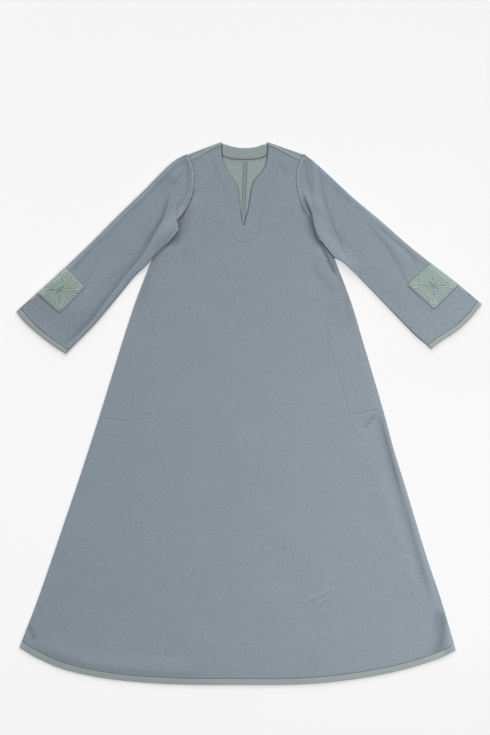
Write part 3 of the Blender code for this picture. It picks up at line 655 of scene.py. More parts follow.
stitches = bpy.data.node_groups.new("sewn_row", "GeometryNodeTree")
STITCH_INPUTS = ("Thread", "Pitch", "Length", "Thickness", "Slant", "Seed")
kinds = ("Geometry", "Material", "Float", "Float", "Float", "Float", "Int")
for name, kind in zip(("Geometry", *STITCH_INPUTS), kinds):
    stitches.interface.new_socket(name, in_out="INPUT", socket_type="NodeSocket" + kind)
stitches.interface.new_socket("Geometry", in_out="OUTPUT", socket_type="NodeSocketGeometry")
given = stitches.nodes.new("NodeGroupInput").outputs
row = add_node(stitches, "GeometryNodeMeshToCurve", {"Mesh": given["Geometry"]})
row_points = {"Curve": row.outputs[0], "Length": given["Pitch"]}
spots = add_node(stitches, "GeometryNodeResampleCurve", row_points, mode="LENGTH")
way = stitches.nodes.new("GeometryNodeInputTangent")
aligned = add_node(stitches, "FunctionNodeAlignEulerToVector", {"Vector": way.outputs[0]}, axis="X")
wander = add_node(stitches, "FunctionNodeRandomValue", {"Seed": given["Seed"]}, data_type="FLOAT")
wander.inputs[2].default_value = -0.06
wander.inputs[3].default_value = 0.06
slant = math_node(stitches, "ADD", given["Slant"], wander.outputs[1])
turn = add_node(stitches, "ShaderNodeCombineXYZ", {"Z": slant})
angles = {0: aligned.outputs[0], 1: turn.outputs[0]}
turned = add_node(stitches, "FunctionNodeRotateEuler", angles, space="LOCAL")
bead = add_node(stitches, "GeometryNodeMeshUVSphere", {"Segments": 8, "Rings": 5, "Radius": 0.5})
bead = add_node(stitches, "GeometryNodeSetShadeSmooth", {0: bead.outputs[0]})
thick = given["Thickness"]
size = add_node(stitches, "ShaderNodeCombineXYZ", {"X": given["Length"], "Y": thick, "Z": thick})
placed = {"Points": spots, "Instance": bead, "Rotation": turned, "Scale": size}
placed = {socket: node.outputs[0] for socket, node in placed.items()}
sewn = add_node(stitches, "GeometryNodeInstanceOnPoints", placed)
real = add_node(stitches, "GeometryNodeRealizeInstances", {"Geometry": sewn.outputs[0]})
dyed = {"Geometry": real.outputs[0], "Material": given["Thread"]}
dyed = add_node(stitches, "GeometryNodeSetMaterial", dyed)
stitches.links.new(dyed.outputs[0], stitches.nodes.new("NodeGroupOutput").inputs[0])


def sewn_row(name, lines, thread, pitch, length, thickness, slant=0.0):
    """Stitches or twists of cord, one after another along each line of points."""
    points = np.vstack(lines)
    starts = np.cumsum([0, *[len(line) for line in lines]])
    edges = [(a, a + 1) for start, end in zip(starts, starts[1:]) for a in range(start, end - 1)]
    guide = new_mesh(name + "_guide", points, [], edges)
    modifier = guide.modifiers.new("sewn_row", "NODES")
    modifier.node_group = stitches
    values = dict(zip(STITCH_INPUTS, (thread, pitch, length, thickness, slant, 1)))
    for item in stitches.interface.items_tree:
        if item.in_out == "INPUT" and item.name in values:
            modifier[item.identifier] = values[item.name]
    graph = bpy.context.evaluated_depsgraph_get()
    made = bpy.data.meshes.new_from_object(guide.evaluated_get(graph))
    bpy.data.objects.remove(guide)
    made.name = name
    return new_object(name, made)


def settle(piece, slot, *nodes):
    """The piece belongs to the robe's one body and stands for nodes; the slot is not used."""
    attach(piece, "root")
    if nodes:
        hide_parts(*nodes)


def with_height(points, heights):
    return np.column_stack([points, heights])


def laid_on(line, top, above=0.0):
    """The line laid on a face, whose height is worked out by top, or a little above it."""
    return with_height(line, top(line) + above)


right_parts = [part[::-1] for part in front_half("right")[::-1]]
outline = joined([spaced(hem_seam, 0.004), *front_half("left"), *right_parts], 0.0045)
STITCHED = (FACING, *POCKET_STITCHES)
BESIDE_STITCHES = (-0.0028, -0.0012, 0.0, 0.0012, 0.0028)
BESIDE_FOLDS = (-0.004, 0.0, 0.004)
SHARP_FOLD = 0.012
sharp_folds = [fold[3] for fold in FRONT_FOLDS if min(fold[1:3]) < SHARP_FOLD]
features = [(spaced(smooth(line), 0.004), BESIDE_STITCHES) for line in STITCHED]
features += [(spaced(smooth(line), 0.005), BESIDE_FOLDS) for line in sharp_folds]
net, faces = panel_net(outline, 0.0062, (0.0007, 0.0018, 0.0040), features)

EDGE_ROUND = 0.0018
EDGE_FALL = 0.0010
STITCH_DIP = 0.00036
DIP_WIDTH = 0.0013
PUFF_AWAY, PUFF_WIDTH = 0.0040, 0.0026


def edge_fall(distance):
    """How far a turned edge rounds off, by the distance from it."""
    part = 1 - np.clip(distance / EDGE_ROUND, 0, 1)
    return EDGE_FALL * (1 - np.sqrt(1 - part**2))


def stitched_dips(points):
    """The shallow channels that the topstitching pulls into the front, puffed on both sides."""
    dip = np.zeros(len(points))
    for line in STITCHED:
        line = smooth(line, 6)
        near = ((points > line.min(0) - 0.01) & (points < line.max(0) + 0.01)).all(1)
        distance = nearest(line, points[near])[0]
        dip[near] -= STITCH_DIP * np.exp(-((distance / DIP_WIDTH) ** 2))
        dip[near] += 0.5 * STITCH_DIP * np.exp(-(((distance - PUFF_AWAY) / PUFF_WIDTH) ** 2))
    return dip


front_rim = kd_of(spaced(np.vstack([outline, outline[:1]]), 0.0005))
top = front_top(net) + stitched_dips(net) - edge_fall(kd_distance(front_rim, net))
outer, inner = with_height(net, top), with_height(net, top - WALL)
# The front's rim takes the darker cloth, painted edge shade.
front = cloth_wall("front_panel", faces, outer, inner, (outer_cloth, inner_cloth, rim_shade_cloth))
# Shade is painted along the foot of each pocket's stitching, as it is into the front's creases.
pocket_foot_shade = [(-0.0014, 0.003, 0.003, POCKET_STITCHES[number]) for number in (1, 3)]
paint_crease_shade(front, net, [*FRONT_FOLDS, *pocket_foot_shade])
settle(front, "blue_grey_cloth", "front")


seam_thread = cloth("seam_thread", (0.140, 0.132, 0.155), contrast=0.10)
top_thread = cloth("top_thread", (0.175, 0.205, 0.235), contrast=0.10)
stitched = [spaced(smooth(line), 0.002) for line in STITCHED]
topstitching = sewn_row(
    "front_topstitching",
    [laid_on(line, lambda spots: front_top(spots) + stitched_dips(spots)) for line in stitched],
    *(top_thread, 0.0042, 0.0030, 0.0008),
)
right_edge, left_edge = [spaced(neckline_from(side), 0.002) for side in SIDES]
slit_edge = aside(np.vstack([right_edge, left_edge[::-1][1:]]), -0.0004)
# At the neck's corners two short rows of the dark thread paint the shadow that falls in the gap
# between the front's neckline edge and the neck band.
CORNER_SHADOW_HEIGHT = 0.0040
NECK_CORNER_SHADOWS = (((-0.0728, 0.7262), (-0.0708, 0.6885)), ((0.0492, 0.7262), (0.0484, 0.6885)))
shares = np.linspace(0, 1, 20)
corner_shadow_rows = [at(np.array(line), shares) for line in NECK_CORNER_SHADOWS]
corner_shadow_rows = [with_height(row, np.full(len(row), CORNER_SHADOW_HEIGHT)) for row in corner_shadow_rows]
edging_and_shadows = sewn_row(
    "neckline_edging_and_corner_shadows",
    [laid_on(slit_edge, front_top, -0.0008), *corner_shadow_rows],
    *(seam_thread, 0.0012, 0.0026, 0.0013, 0.5),
)
for piece in (topstitching, edging_and_shadows):
    settle(piece, "blue_grey_cloth")


# --- back --------------------------------------------------
# Two panels meet in a centre-back seam. Each is cut past the shoulder fold and bends over it,
# so that the shoulder seam lies on the front; inside, the sage face of the cloth shows.

ROLL = 0.0026
BEND_RADIUS = ROLL - WALL / 2
SEAM_GAP = 0.0003
CENTRE_BACK = ((-0.009, 0.7125), (-0.016, 0.506), (-0.024, 0.000), (-0.031, -0.711))
BACK_NECK = {
    "right": ((-0.009, 0.7125), (-0.026, 0.713), (-0.048, 0.717), (-0.062, 0.7215)),
    "left": ((-0.009, 0.7125), (0.000, 0.7125), (0.024, 0.7165), (0.038, 0.7215)),
}
LAP_RISE = 0.006
centre_line = smooth(CENTRE_BACK)


def place_back(side, points, radius):
    """The back's cloth: flat, and bent over the shoulder fold on to the front."""
    neck, _, out, _ = shoulder_frame(side)
    start = neck - ROLL * out
    half_turn = math.pi * BEND_RADIUS
    beyond = (points - start) @ out
    angle = np.clip(beyond, 0, half_turn) / BEND_RADIUS
    over = radius * np.sin(angle) - np.maximum(beyond - half_turn, 0)
    moved = points + np.where(beyond > 1e-5, over - beyond, 0)[:, None] * out
    lift = ease((beyond - half_turn) / LAP_RISE) * (LAID - 2 * ROLL)
    return with_height(moved, ROLL - radius * np.cos(angle) + lift)


def spread_shoulder(side):
    """The back's strip that bends over the shoulder, spread flat: its rim and its creases."""
    neck, along, out, _ = shoulder_frame(side)
    start = neck - ROLL * out
    half_turn = math.pi * BEND_RADIUS
    neck_end, tip_end = [], []
    for part in range(11):
        angle = math.pi * part / 10
        tip = (armhole_at_depth(side, ROLL * (1 - math.sin(angle))) - neck) @ along
        neck_end.append(start + angle * BEND_RADIUS * out)
        tip_end.append(neck_end[-1] + tip * along)
    seam = aside(shoulder_seam(side), SIDES[side] * SEAM_GAP / 2)
    depth = (neck - seam) @ out
    spread = spaced(seam + (2 * (depth - ROLL) + half_turn)[:, None] * out, 0.005)
    creases = [np.linspace(a, b, 22)[1:-1] for a, b in zip(neck_end, tip_end)]
    return np.vstack([neck_end, spread, tip_end[::-1]]), creases


# The inside that shows in the neck waves slightly, and has one line pressed across it
SHOWN_FROM, SHOWN_TO = 0.40, 0.70
PRESSED_LINE = 0.6243

for side in SIDES:
    centre = aside(centre_line, -SIDES[side] * SEAM_GAP / 2)
    hem = spaced(hem_seam, 0.008)
    foot = np.array([centre[-1, 0], np.interp(centre[-1, 0], hem[:, 0], hem[:, 1])])
    hem = hem[SIDES[side] * (hem[:, 0] - foot[0]) > 0.003]
    hem = hem if side == "left" else hem[::-1]
    up_the_side = joined(front_half(side)[:-3], 0.006)
    rim, creases = spread_shoulder(side)
    armhole = spaced(armhole_below(side, 0.006), 0.005)
    neck = spaced(smooth(BACK_NECK[side]), 0.004)[:-1]
    down = spaced(np.vstack([centre[:-1], foot]), 0.008)[1:-1]
    outline = np.vstack([foot, hem[:-1], up_the_side, armhole, rim[::-1], neck[::-1], down])
    spots, faces = panel_net(outline, 0.010, (0.003,), [(crease, (0.0,)) for crease in creases])
    outer = place_back(side, spots, ROLL)
    inner = place_back(side, spots, ROLL - WALL)
    shown = (spots[:, 1] < SHOWN_TO) & (spots[:, 1] > SHOWN_FROM)
    inner[shown, 2] += 0.0002 * waves(spots[shown], 0.03, 11)
    inner[shown, 2] -= 0.0004 * np.exp(-(((spots[shown, 1] - PRESSED_LINE) / 0.0016) ** 2))
    cloths = (outer_cloth, inner_cloth, outer_cloth)
    back = cloth_wall("back_panel_" + side, faces, outer, inner, cloths)
    settle(back, "blue_grey_cloth", "back_" + side)


# --- back neck band and centre-back tape -------------------
# A sage band faces the back neck, and a blue-grey bias tape covers the raw edges of the
# centre-back seam. Both are sewn down flat inside the back.

TRIM = 0.0010
INNER_TOP = WALL + SEAM_GAP + TRIM
NECK_BAND_ENDS = {"right": (-0.084, 0.7205), "left": (0.060, 0.7205)}
NECK_BAND_LOWER = (
    (-0.084, 0.704), (-0.073, 0.695), (-0.052, 0.6855), (-0.013, 0.682),
    (0.026, 0.6855), (0.050, 0.696), (0.061, 0.705),
)
TAPE = 0.0096
TAPE_ENDS = (-0.706, 0.6805)


def grid_faces(rows, columns, closed=False):
    """Faces of a grid of points, whose columns may run round and meet again."""
    faces = []
    for row in range(rows - 1):
        for column in range(columns if closed else columns - 1):
            here = row * columns + column
            beside = row * columns + (column + 1) % columns
            faces.append((here, beside, beside + columns, here + columns))
    return faces


STRIP_SHARES = (0, 0.06, 0.2, 0.5, 0.8, 0.94, 1)


def strip(name, start, end, rows, tops, materials, wall=TRIM, shares=STRIP_SHARES):
    """A narrow piece between two lines, its long edges slightly rounded off."""
    shares = np.array(shares)
    u = np.linspace(0, 1, rows)
    first, last = at(start, u), at(end, u)
    flat = first[:, None] * (1 - shares)[None, :, None] + last[:, None] * shares[None, :, None]
    flat = flat.reshape(-1, 2)
    width = np.linalg.norm(last - first, axis=1)
    inset = (np.minimum(shares, 1 - shares)[None] * width[:, None]).ravel()
    heights = tops(flat) - 0.45 * edge_fall(inset)
    faces = grid_faces(rows, len(shares))
    outer = with_height(flat, heights)
    inner = with_height(flat, np.minimum(tops(flat) - wall, heights - 0.3 * wall))
    return cloth_wall(name, faces, outer, inner, materials, 0.00015)


def inside_top(points):
    return INNER_TOP + 0.00015 * waves(points, 0.02, 21)


both_necks = (*BACK_NECK["right"][::-1], *BACK_NECK["left"][1:])
upper = smooth([NECK_BAND_ENDS["right"], *both_necks, NECK_BAND_ENDS["left"]])
lower = smooth(NECK_BAND_LOWER)
band_cloth = cloth("sage_band", (0.272, 0.330, 0.322), contrast=0.05)
# The band's rim takes the darker cloth, painted edge shade.
cloths = (band_cloth, band_cloth, rim_shade_cloth)
neck_band = strip("back_neck_facing", upper, lower, 60, inside_top, cloths)
settle(neck_band, "sage_cloth", "back_neck_band")

run = spaced(centre_line, 0.0005)
run = run[(run[:, 1] > TAPE_ENDS[0]) & (run[:, 1] < TAPE_ENDS[1])]
sides = aside(run, -TAPE / 2), aside(run, TAPE / 2)
tape_cloth = cloth("bias_tape", (0.222, 0.265, 0.290), turn=0.785, contrast=0.05)
tape = strip("centre_back_bias_tape", *sides, 260, inside_top, (tape_cloth,) * 3)
settle(tape, "blue_grey_cloth", "centre_back_tape")
band_row = aside(spaced(lower, 0.002), 0.0003)
tape_row = aside(run[run[:, 1] > SHOWN_FROM][::4], -TAPE / 2)
inside_rows = sewn_row(
    "inside_seam_stitches",
    [laid_on(band_row, inside_top, -0.0003), laid_on(tape_row, inside_top, -0.0005)],
    *(seam_thread, 0.0013, 0.0024, 0.0013, 0.4),
)
settle(inside_rows, "blue_grey_cloth")


# --- pocket bags -------------------------------------------
# Each side seam holds a pocket, whose bag lies inside the front and is stitched down to it.

POCKETS = {
    "right": (
        (-0.284, 0.300), (-0.266, 0.282), (-0.258, 0.238), (-0.264, 0.182), (-0.283, 0.118),
        (-0.307, 0.052), (-0.321, -0.021), (-0.384, -0.014), (-0.351, 0.090), (-0.328, 0.165),
        (-0.306, 0.235),
    ),
    "left": (
        (0.230, 0.330), (0.212, 0.290), (0.206, 0.232), (0.214, 0.180), (0.232, 0.128),
        (0.252, 0.058), (0.270, -0.002), (0.343, 0.006), (0.316, 0.090), (0.288, 0.182),
        (0.262, 0.262),
    ),
}
for side in SIDES:
    spots, faces = panel_net(spaced(smooth(POCKETS[side]), 0.006), 0.012)
    lower = with_height(spots, np.full(len(spots), INNER_TOP - TRIM))
    upper = laid_on(spots, inside_top)
    bag = cloth_wall("pocket_bag_" + side, faces, upper, lower, (outer_cloth,) * 3)
    settle(bag, "blue_grey_cloth", "pocket_" + side)


# --- shoulder strips ---------------------------------------
# The front laps the back along the shoulder seam, and the turned sage edge shows as a strip.

STRIP_HALF = 0.003


def strip_top(points):
    return np.full(len(points), LAID + SEAM_GAP + TRIM)


for side in SIDES:
    seam = shoulder_seam(side)
    sides = aside(seam, -STRIP_HALF), aside(seam, STRIP_HALF)
    strip_cloth = cloth("sage_strip_" + side, (0.285, 0.345, 0.325), turn=0.35 * SIDES[side])
    piece = strip("shoulder_seam_strip_" + side, *sides, 30, strip_top, (strip_cloth,) * 3)
    settle(piece, "sage_cloth", "shoulder_strip_" + side)


# --- sleeves -----------------------------------------------
# Each sleeve is one piece, folded along its outer edge and seamed underneath, and widens to
# the cuff. It lies pressed flat, with long soft folds from the armhole towards the elbow.

SLEEVE_OUTER = {
    "right": (
        (-0.1692, 0.6956), (-0.211, 0.670), (-0.284, 0.597), (-0.358, 0.525), (-0.431, 0.452),
        (-0.530, 0.358), (-0.580, 0.314), (-0.6140, 0.2835),
    ),
    "left": (
        (0.1484, 0.6966), (0.189, 0.663), (0.277, 0.581), (0.353, 0.517), (0.427, 0.452),
        (0.487, 0.404), (0.560, 0.348), (0.6140, 0.3030),
    ),
}
SLEEVE_LOWER = {
    "right": (
        (-0.1885, 0.4905), (-0.2105, 0.464), (-0.238, 0.4365), (-0.2545, 0.4205),
        (-0.279, 0.3925), (-0.296, 0.378), (-0.314, 0.359), (-0.346, 0.320),
        (-0.411, 0.242), (-0.4830, 0.1685),
    ),
    "left": (
        (0.2290, 0.4172), (0.258, 0.401), (0.318, 0.342), (0.379, 0.278), (0.442, 0.213),
        (0.4775, 0.1830),
    ),
}
CUFF_SEAMS = {
    "right": (
        (-0.6140, 0.2835), (-0.586, 0.250), (-0.548, 0.216), (-0.510, 0.187), (-0.4830, 0.1685),
    ),
    "left": ((0.6140, 0.3030), (0.585, 0.265), (0.549, 0.232), (0.505, 0.204), (0.4775, 0.1830)),
}
RIGHT_CREASE = (
    (-0.203, 0.606), (-0.2148, 0.582), (-0.2230, 0.558), (-0.2290, 0.5385), (-0.2345, 0.5185),
    (-0.2648, 0.4648), (-0.2990, 0.4104), (-0.3447, 0.3566), (-0.3842, 0.3030),
    (-0.4243, 0.2492), (-0.4718, 0.2010), (-0.4955, 0.1805), (-0.519, 0.158),
)
SLEEVE_FOLDS = {
    "right": (
        (-0.0034, 0.007, 0.016, RIGHT_CREASE),
        (-0.0024, 0.006, 0.012, ((-0.209, 0.592), (-0.2161, 0.5732), (-0.2205, 0.5598),
            (-0.225, 0.5464), (-0.2292, 0.533), (-0.2355, 0.5195), (-0.2524, 0.4927),
            (-0.269, 0.4658), (-0.290, 0.432))),
        (0.0012, 0.012, 0.012, tuple((x + 0.007, y - 0.006) for x, y in RIGHT_CREASE)),
        (0.0010, 0.008, 0.030, ((-0.184, 0.560), (-0.190, 0.520), (-0.208, 0.488), (-0.246, 0.444),
            (-0.284, 0.400))),
        (0.0026, 0.018, 0.010, ((-0.150, 0.704), (-0.166, 0.689), (-0.208, 0.664), (-0.281, 0.591),
            (-0.355, 0.519), (-0.428, 0.446))),
        (-0.0005, 0.012, 0.010, ((-0.157, 0.696), (-0.200, 0.658), (-0.273, 0.585),
            (-0.347, 0.513))),
        (0.0012, 0.012, 0.012, ((-0.385, 0.490), (-0.408, 0.439), (-0.432, 0.375),
            (-0.445, 0.345))),
        (-0.0014, 0.016, 0.012, ((-0.392, 0.474), (-0.428, 0.434), (-0.456, 0.400),
            (-0.486, 0.368))),
        (-0.0018, 0.006, 0.008, ((-0.164, 0.680), (-0.166, 0.650), (-0.165, 0.605), (-0.177, 0.572),
            (-0.190, 0.555), (-0.196, 0.525), (-0.195, 0.505))),
    ),
    "left": (
        (0.0050, 0.040, 0.007, ((0.146, 0.605), (0.152, 0.583), (0.1588, 0.5652), (0.1682, 0.541),
            (0.1745, 0.5142), (0.181, 0.4873), (0.1955, 0.4632), (0.2202, 0.4283), (0.250, 0.404),
            (0.300, 0.361))),
        (-0.0038, 0.004, 0.018, ((0.147, 0.588), (0.153, 0.5598), (0.1598, 0.5464), (0.1657, 0.533),
            (0.1672, 0.5195), (0.1735, 0.495), (0.182, 0.474))),
        (0.0026, 0.016, 0.016, ((0.158, 0.740), (0.166, 0.694), (0.172, 0.648), (0.176, 0.600),
            (0.182, 0.560), (0.200, 0.520))),
        (-0.0010, 0.010, 0.006, ((0.172, 0.720), (0.180, 0.686), (0.189, 0.638), (0.1975, 0.587),
            (0.204, 0.560), (0.2265, 0.4927), (0.2403, 0.4658), (0.2500, 0.437), (0.272, 0.406),
            (0.290, 0.375))),
        (-0.0016, 0.008, 0.010, ((0.140, 0.720), (0.146, 0.686), (0.152, 0.648), (0.156, 0.600))),
        (-0.0006, 0.012, 0.016, ((0.318, 0.498), (0.345, 0.472), (0.365, 0.452), (0.392, 0.407),
            (0.4135, 0.364), (0.4377, 0.326), (0.4726, 0.291))),
        (0.0013, 0.034, 0.018, ((0.290, 0.548), (0.328, 0.512), (0.374, 0.456), (0.412, 0.405),
            (0.434, 0.366))),
        (0.0026, 0.012, 0.022, ((0.160, 0.692), (0.205, 0.652), (0.277, 0.584), (0.353, 0.520),
            (0.427, 0.455), (0.480, 0.412), (0.540, 0.365))),
        (-0.0011, 0.012, 0.014, ((0.335, 0.508), (0.3786, 0.4712), (0.4224, 0.4352),
            (0.4438, 0.4057), (0.456, 0.378))),
    ),
}
LAP_LIFT = 0.0082
LAP_RAMP = 0.030
LAP_TOP, LAP_FADE = 0.490, 0.068
# The lap's lift comes down to this share of it, which it leaves over this rise from there
LAP_LOW, LOW_FROM, LOW_RISE = 0.36, 0.424, 0.066
ARMHOLE_GAP = 0.0004


def armhole_ring(side):
    """The sleeve's end: from its outer fold round the armhole to its lower edge."""
    seam = aside(armhole_lines[side], SIDES[side] * ARMHOLE_GAP)[::-1]
    return np.vstack([SLEEVE_OUTER[side][0], seam, SLEEVE_LOWER[side][0]])


def patch_between(first, last, start, end):
    """A surface point by shares across and along, from the four lines round it."""
    across_start, across_end = at(start, (0, 1)), at(end, (0, 1))

    def spot(across, along):
        across, along = across[:, None], along[:, None]
        edges = at(first, along[:, 0]) * (1 - across) + at(last, along[:, 0]) * across
        ends = at(start, across[:, 0]) * (1 - along) + at(end, across[:, 0]) * along
        near = across_start[0] * (1 - across) + across_start[1] * across
        far = across_end[0] * (1 - across) + across_end[1] * across
        return edges + ends - near * (1 - along) - far * along

    return spot


sleeve_spots = {}
for side in SIDES:
    outer_fold, lower_edge = smooth(SLEEVE_OUTER[side]), smooth(SLEEVE_LOWER[side])
    ends = armhole_ring(side), smooth(CUFF_SEAMS[side])
    sleeve_spots[side] = patch_between(outer_fold, lower_edge, *ends)


def lap_lift(side, points):
    """How far the right sleeve is raised where it laps over the body under the arm."""
    if side == "left":
        return np.zeros(len(points))
    distance, _, over_body = nearest(low_edges[side], points)
    reach = np.where(over_body, 1.0, 1.1 - distance / LAP_RAMP)
    low = LAP_LOW + (1 - LAP_LOW) * ease((points[:, 1] - LOW_FROM) / LOW_RISE)
    return LAP_LIFT * low * ease(reach) * ease((LAP_TOP + LAP_FADE - points[:, 1]) / LAP_FADE)


THINNEST = 2 * WALL + 0.0006
LOFT = {"right": 0.0038, "left": 0.0022}
# Where the loft starts and how far it takes to rise, from the outer fold, armhole and cuff
LOFT_RISES = ((0.0, 0.014), (0.020, 0.050), (0.004, 0.110))


def sleeve_loft(side, points):
    """How far the sleeve stands puffed up between its outer fold and its lowest crease."""
    lines = (smooth(SLEEVE_OUTER[side]), armhole_lines[side], smooth(CUFF_SEAMS[side]))
    rises = zip(lines, LOFT_RISES)
    shares = [(nearest(line, points)[0] - start) / reach for line, (start, reach) in rises]
    if side == "right":
        distance, _, beyond = nearest(smooth(RIGHT_CREASE), points)
        shares.append(np.where(beyond, distance / 0.040, 0.0))
    else:
        shares.append(nearest(smooth(SLEEVE_LOWER[side]), points)[0] / 0.060)
    return LOFT[side] * ease(np.min(shares, axis=0))


def sleeve_top(side, points):
    """Height of the sleeve's upper face, which never sinks into the under side."""
    slow = 0.00035 * waves(points, 0.070, 31) + 0.00018 * waves(points, 0.028, 33)
    high = LAID + sleeve_loft(side, points) + fold_lift(points, SLEEVE_FOLDS[side]) + slow
    return lap_lift(side, points) + no_lower(high, THINNEST)


def face_of(side):
    return lambda points: sleeve_top(side, points)


UPPER_COLUMNS = 88
UNDER_COLUMNS = 16


def ring_columns():
    """Round a flattened tube: share of its width, inset from that edge in radii, and layer."""
    rounds = 1 - np.cos(np.linspace(0, 0.5 * math.pi, 6))
    columns = [(0, part, 1) for part in rounds]
    columns += [(share, None, 1) for share in np.linspace(0, 1, UPPER_COLUMNS + 2)[1:-1]]
    columns += [(1, part, 1) for part in rounds[::-1]]
    columns += [(1, part, -1) for part in rounds[1:]]
    columns += [(share, None, -1) for share in np.linspace(1, 0, UNDER_COLUMNS + 2)[1:-1]]
    columns += [(0, part, -1) for part in rounds[:0:-1]]
    return columns


RING = ring_columns()


def flattened_tube(spot, top, under, rows, depth):
    """Points of a tube pressed flat with rolled edges, a depth inside its outer face."""
    rows = np.asarray(rows, float)
    width = np.linalg.norm(spot(np.ones(len(rows)), rows) - spot(np.zeros(len(rows)), rows), axis=1)
    placed = []
    for share, inset, layer in RING:
        shares = np.full(len(rows), float(share))
        rounding = 1.0
        if inset is not None:
            rounding = math.sqrt(max(0.0, 1 - (1 - inset) ** 2))
            shares += (1 - 2 * share) * (inset * ROLL + depth * (1 - inset)) / width
        points = spot(shares, rows)
        high, low = top(points), under(points)
        half = (high - low) / 2 - depth
        placed.append(with_height(points, (high + low) / 2 + layer * half * rounding))
    return np.stack(placed, 1).reshape(-1, 3)


SLEEVE_ROWS = np.concatenate([np.linspace(0, 0.03, 10)[:-1], np.linspace(0.03, 1, 200)])
SLEEVE_TURNS = {"right": 0.80, "left": -0.84}
for side in SIDES:
    sleeve_cloth = cloth("sleeve_cloth_" + side, BLUE_GREY, turn=SLEEVE_TURNS[side])
    faces_of_tube = face_of(side), lambda points: lap_lift(side, points)
    outer = flattened_tube(sleeve_spots[side], *faces_of_tube, SLEEVE_ROWS, 0.0)
    inner = flattened_tube(sleeve_spots[side], *faces_of_tube, SLEEVE_ROWS, WALL)
    faces = grid_faces(len(SLEEVE_ROWS), len(RING), closed=True)
    cloths = (sleeve_cloth, inner_cloth, sleeve_cloth)
    sleeve = cloth_wall("long_sleeve_" + side, faces, outer, inner, cloths)
    # Shade is painted into the creases of the sleeve's upper face.
    upper = outer[:, 2] - lap_lift(side, outer[:, :2]) > ROLL
    paint_crease_shade(sleeve, outer[:, :2], SLEEVE_FOLDS[side], upper)
    settle(sleeve, "blue_grey_cloth", "sleeve_" + side)


# --- armhole welts -----------------------------------------
# The armhole seams are flat-felled: the seam allowance is turned over the sleeve and stitched
# down, a strip 12 mm wide that stands a little above the cloth.

# Its width is a share of the sleeve's length. The profile gives shares of that, and of the rise
WELT_WIDTH = 0.019
WELT_RISE = 0.0012
WELT_PROFILE = (
    (0.0, 0.35), (0.03, 0.75), (0.12, 0.95), (0.5, 1.0), (0.88, 0.85), (0.97, 0.50), (1.0, 0.15),
)
# Below this height the welt sinks into the folds under the arm, over a fade
WELT_SINKS = {"right": 0.515, "left": 0.550}
WELT_FADE = 0.035
STITCHED_TO = {"right": 0.90, "left": 0.50}
SEAM_STITCH = (seam_thread, 0.0014, 0.0026, 0.0013, 0.4)
for side in SIDES:
    across = np.linspace(0.035, 0.905, 110)
    along, full = np.array(WELT_PROFILE).T
    grid = [sleeve_spots[side](across, np.full(len(across), share)) for share in along * WELT_WIDTH]
    flat = np.stack(grid, 0).reshape(-1, 2)
    base = sleeve_top(side, flat)
    swell = np.repeat(full, len(across)) * WELT_RISE
    swell *= 0.15 + 0.85 * ease((flat[:, 1] - WELT_SINKS[side]) / WELT_FADE)
    welt_cloth = cloth("welt_cloth_" + side, (0.262, 0.304, 0.338), turn=SLEEVE_TURNS[side])
    welt = cloth_wall(
        "felled_armhole_seam_" + side,
        grid_faces(len(along), len(across)),
        with_height(flat, base + swell),
        with_height(flat, base + 0.0001),
        (welt_cloth,) * 3,
        0.0001,
    )
    # Shade is painted into the welt where the sleeve's creases cross it.
    paint_crease_shade(welt, flat, SLEEVE_FOLDS[side])
    settle(welt, "blue_grey_cloth", "armhole_welt_" + side)
    shown = across[across < STITCHED_TO[side]]
    for name, share, above, look in (
        ("armhole_stitches_", 0.0004, 0.0002, SEAM_STITCH),
        ("armhole_topstitches_", 0.92 * WELT_WIDTH, 0.0009, (top_thread, 0.0040, 0.0028, 0.0007)),
    ):
        line = sleeve_spots[side](shown, np.full(len(shown), share))
        row = sewn_row(name + side, [laid_on(line, face_of(side), above)], *look)
        settle(row, "blue_grey_cloth")


# --- cuff bands and hem bands ------------------------------
# Sage bands bind the cuffs and the hem: each is a doubled strip, set on with a plain seam and
# pressed flat, with a soft folded edge.

CUFF_EDGES = {
    "right": (
        (-0.6245, 0.2735), (-0.598, 0.242), (-0.559, 0.208), (-0.519, 0.178), (-0.4905, 0.1600),
    ),
    "left": ((0.6245, 0.2945), (0.596, 0.258), (0.559, 0.223), (0.514, 0.193), (0.4875, 0.1725)),
}
CUFF_LAID = 0.0056
HEM_LAID = 0.0043
BAND_WALL = 0.0020
# Shares of the cuff band's width, and how far its folded edge rounds off there
CUFF_ROWS = (
    (0, 0), (0.04, 0), (0.12, 0), (0.35, 0), (0.65, 0),
    (0.88, 0.0001), (0.96, 0.0003), (1, 0.00055),
)
trim_cloth = cloth("sage_binding", (0.302, 0.353, 0.344), contrast=0.06)


def on_floor(points):
    return np.zeros(len(points))


for side in SIDES:
    seam, edge = smooth(CUFF_SEAMS[side]), smooth(CUFF_EDGES[side])

    def cuff_spot(across, along):
        start, end = at(seam, across), at(edge, across)
        way = (end - start) / np.linalg.norm(end - start, axis=1)[:, None]
        return start + way * SEAM_GAP * (1 - along)[:, None] + (end - start) * along[:, None]

    def cuff_top(points):
        fall = edge_fall(np.maximum(nearest(seam, points)[0] - SEAM_GAP, 0))
        return CUFF_LAID - fall + 0.0002 * waves(points, 0.02, 41)

    rows, falls = np.array(CUFF_ROWS).T
    outer = flattened_tube(cuff_spot, cuff_top, on_floor, rows, 0.0)
    inner = flattened_tube(cuff_spot, cuff_top, on_floor, rows, BAND_WALL)
    outer[:, 2] -= np.repeat(falls, len(RING)) * (outer[:, 2] > ROLL)
    faces = grid_faces(len(rows), len(RING), closed=True)
    cuff = cloth_wall("cuff_binding_" + side, faces, outer, inner, (trim_cloth,) * 3, 0.0005)
    settle(cuff, "sage_cloth", "cuff_band_" + side)
    line = laid_on(spaced(seam, 0.002)[1:-1], face_of(side), -0.0003)
    settle(sewn_row("cuff_seam_stitches_" + side, [line], *SEAM_STITCH), "sage_cloth")

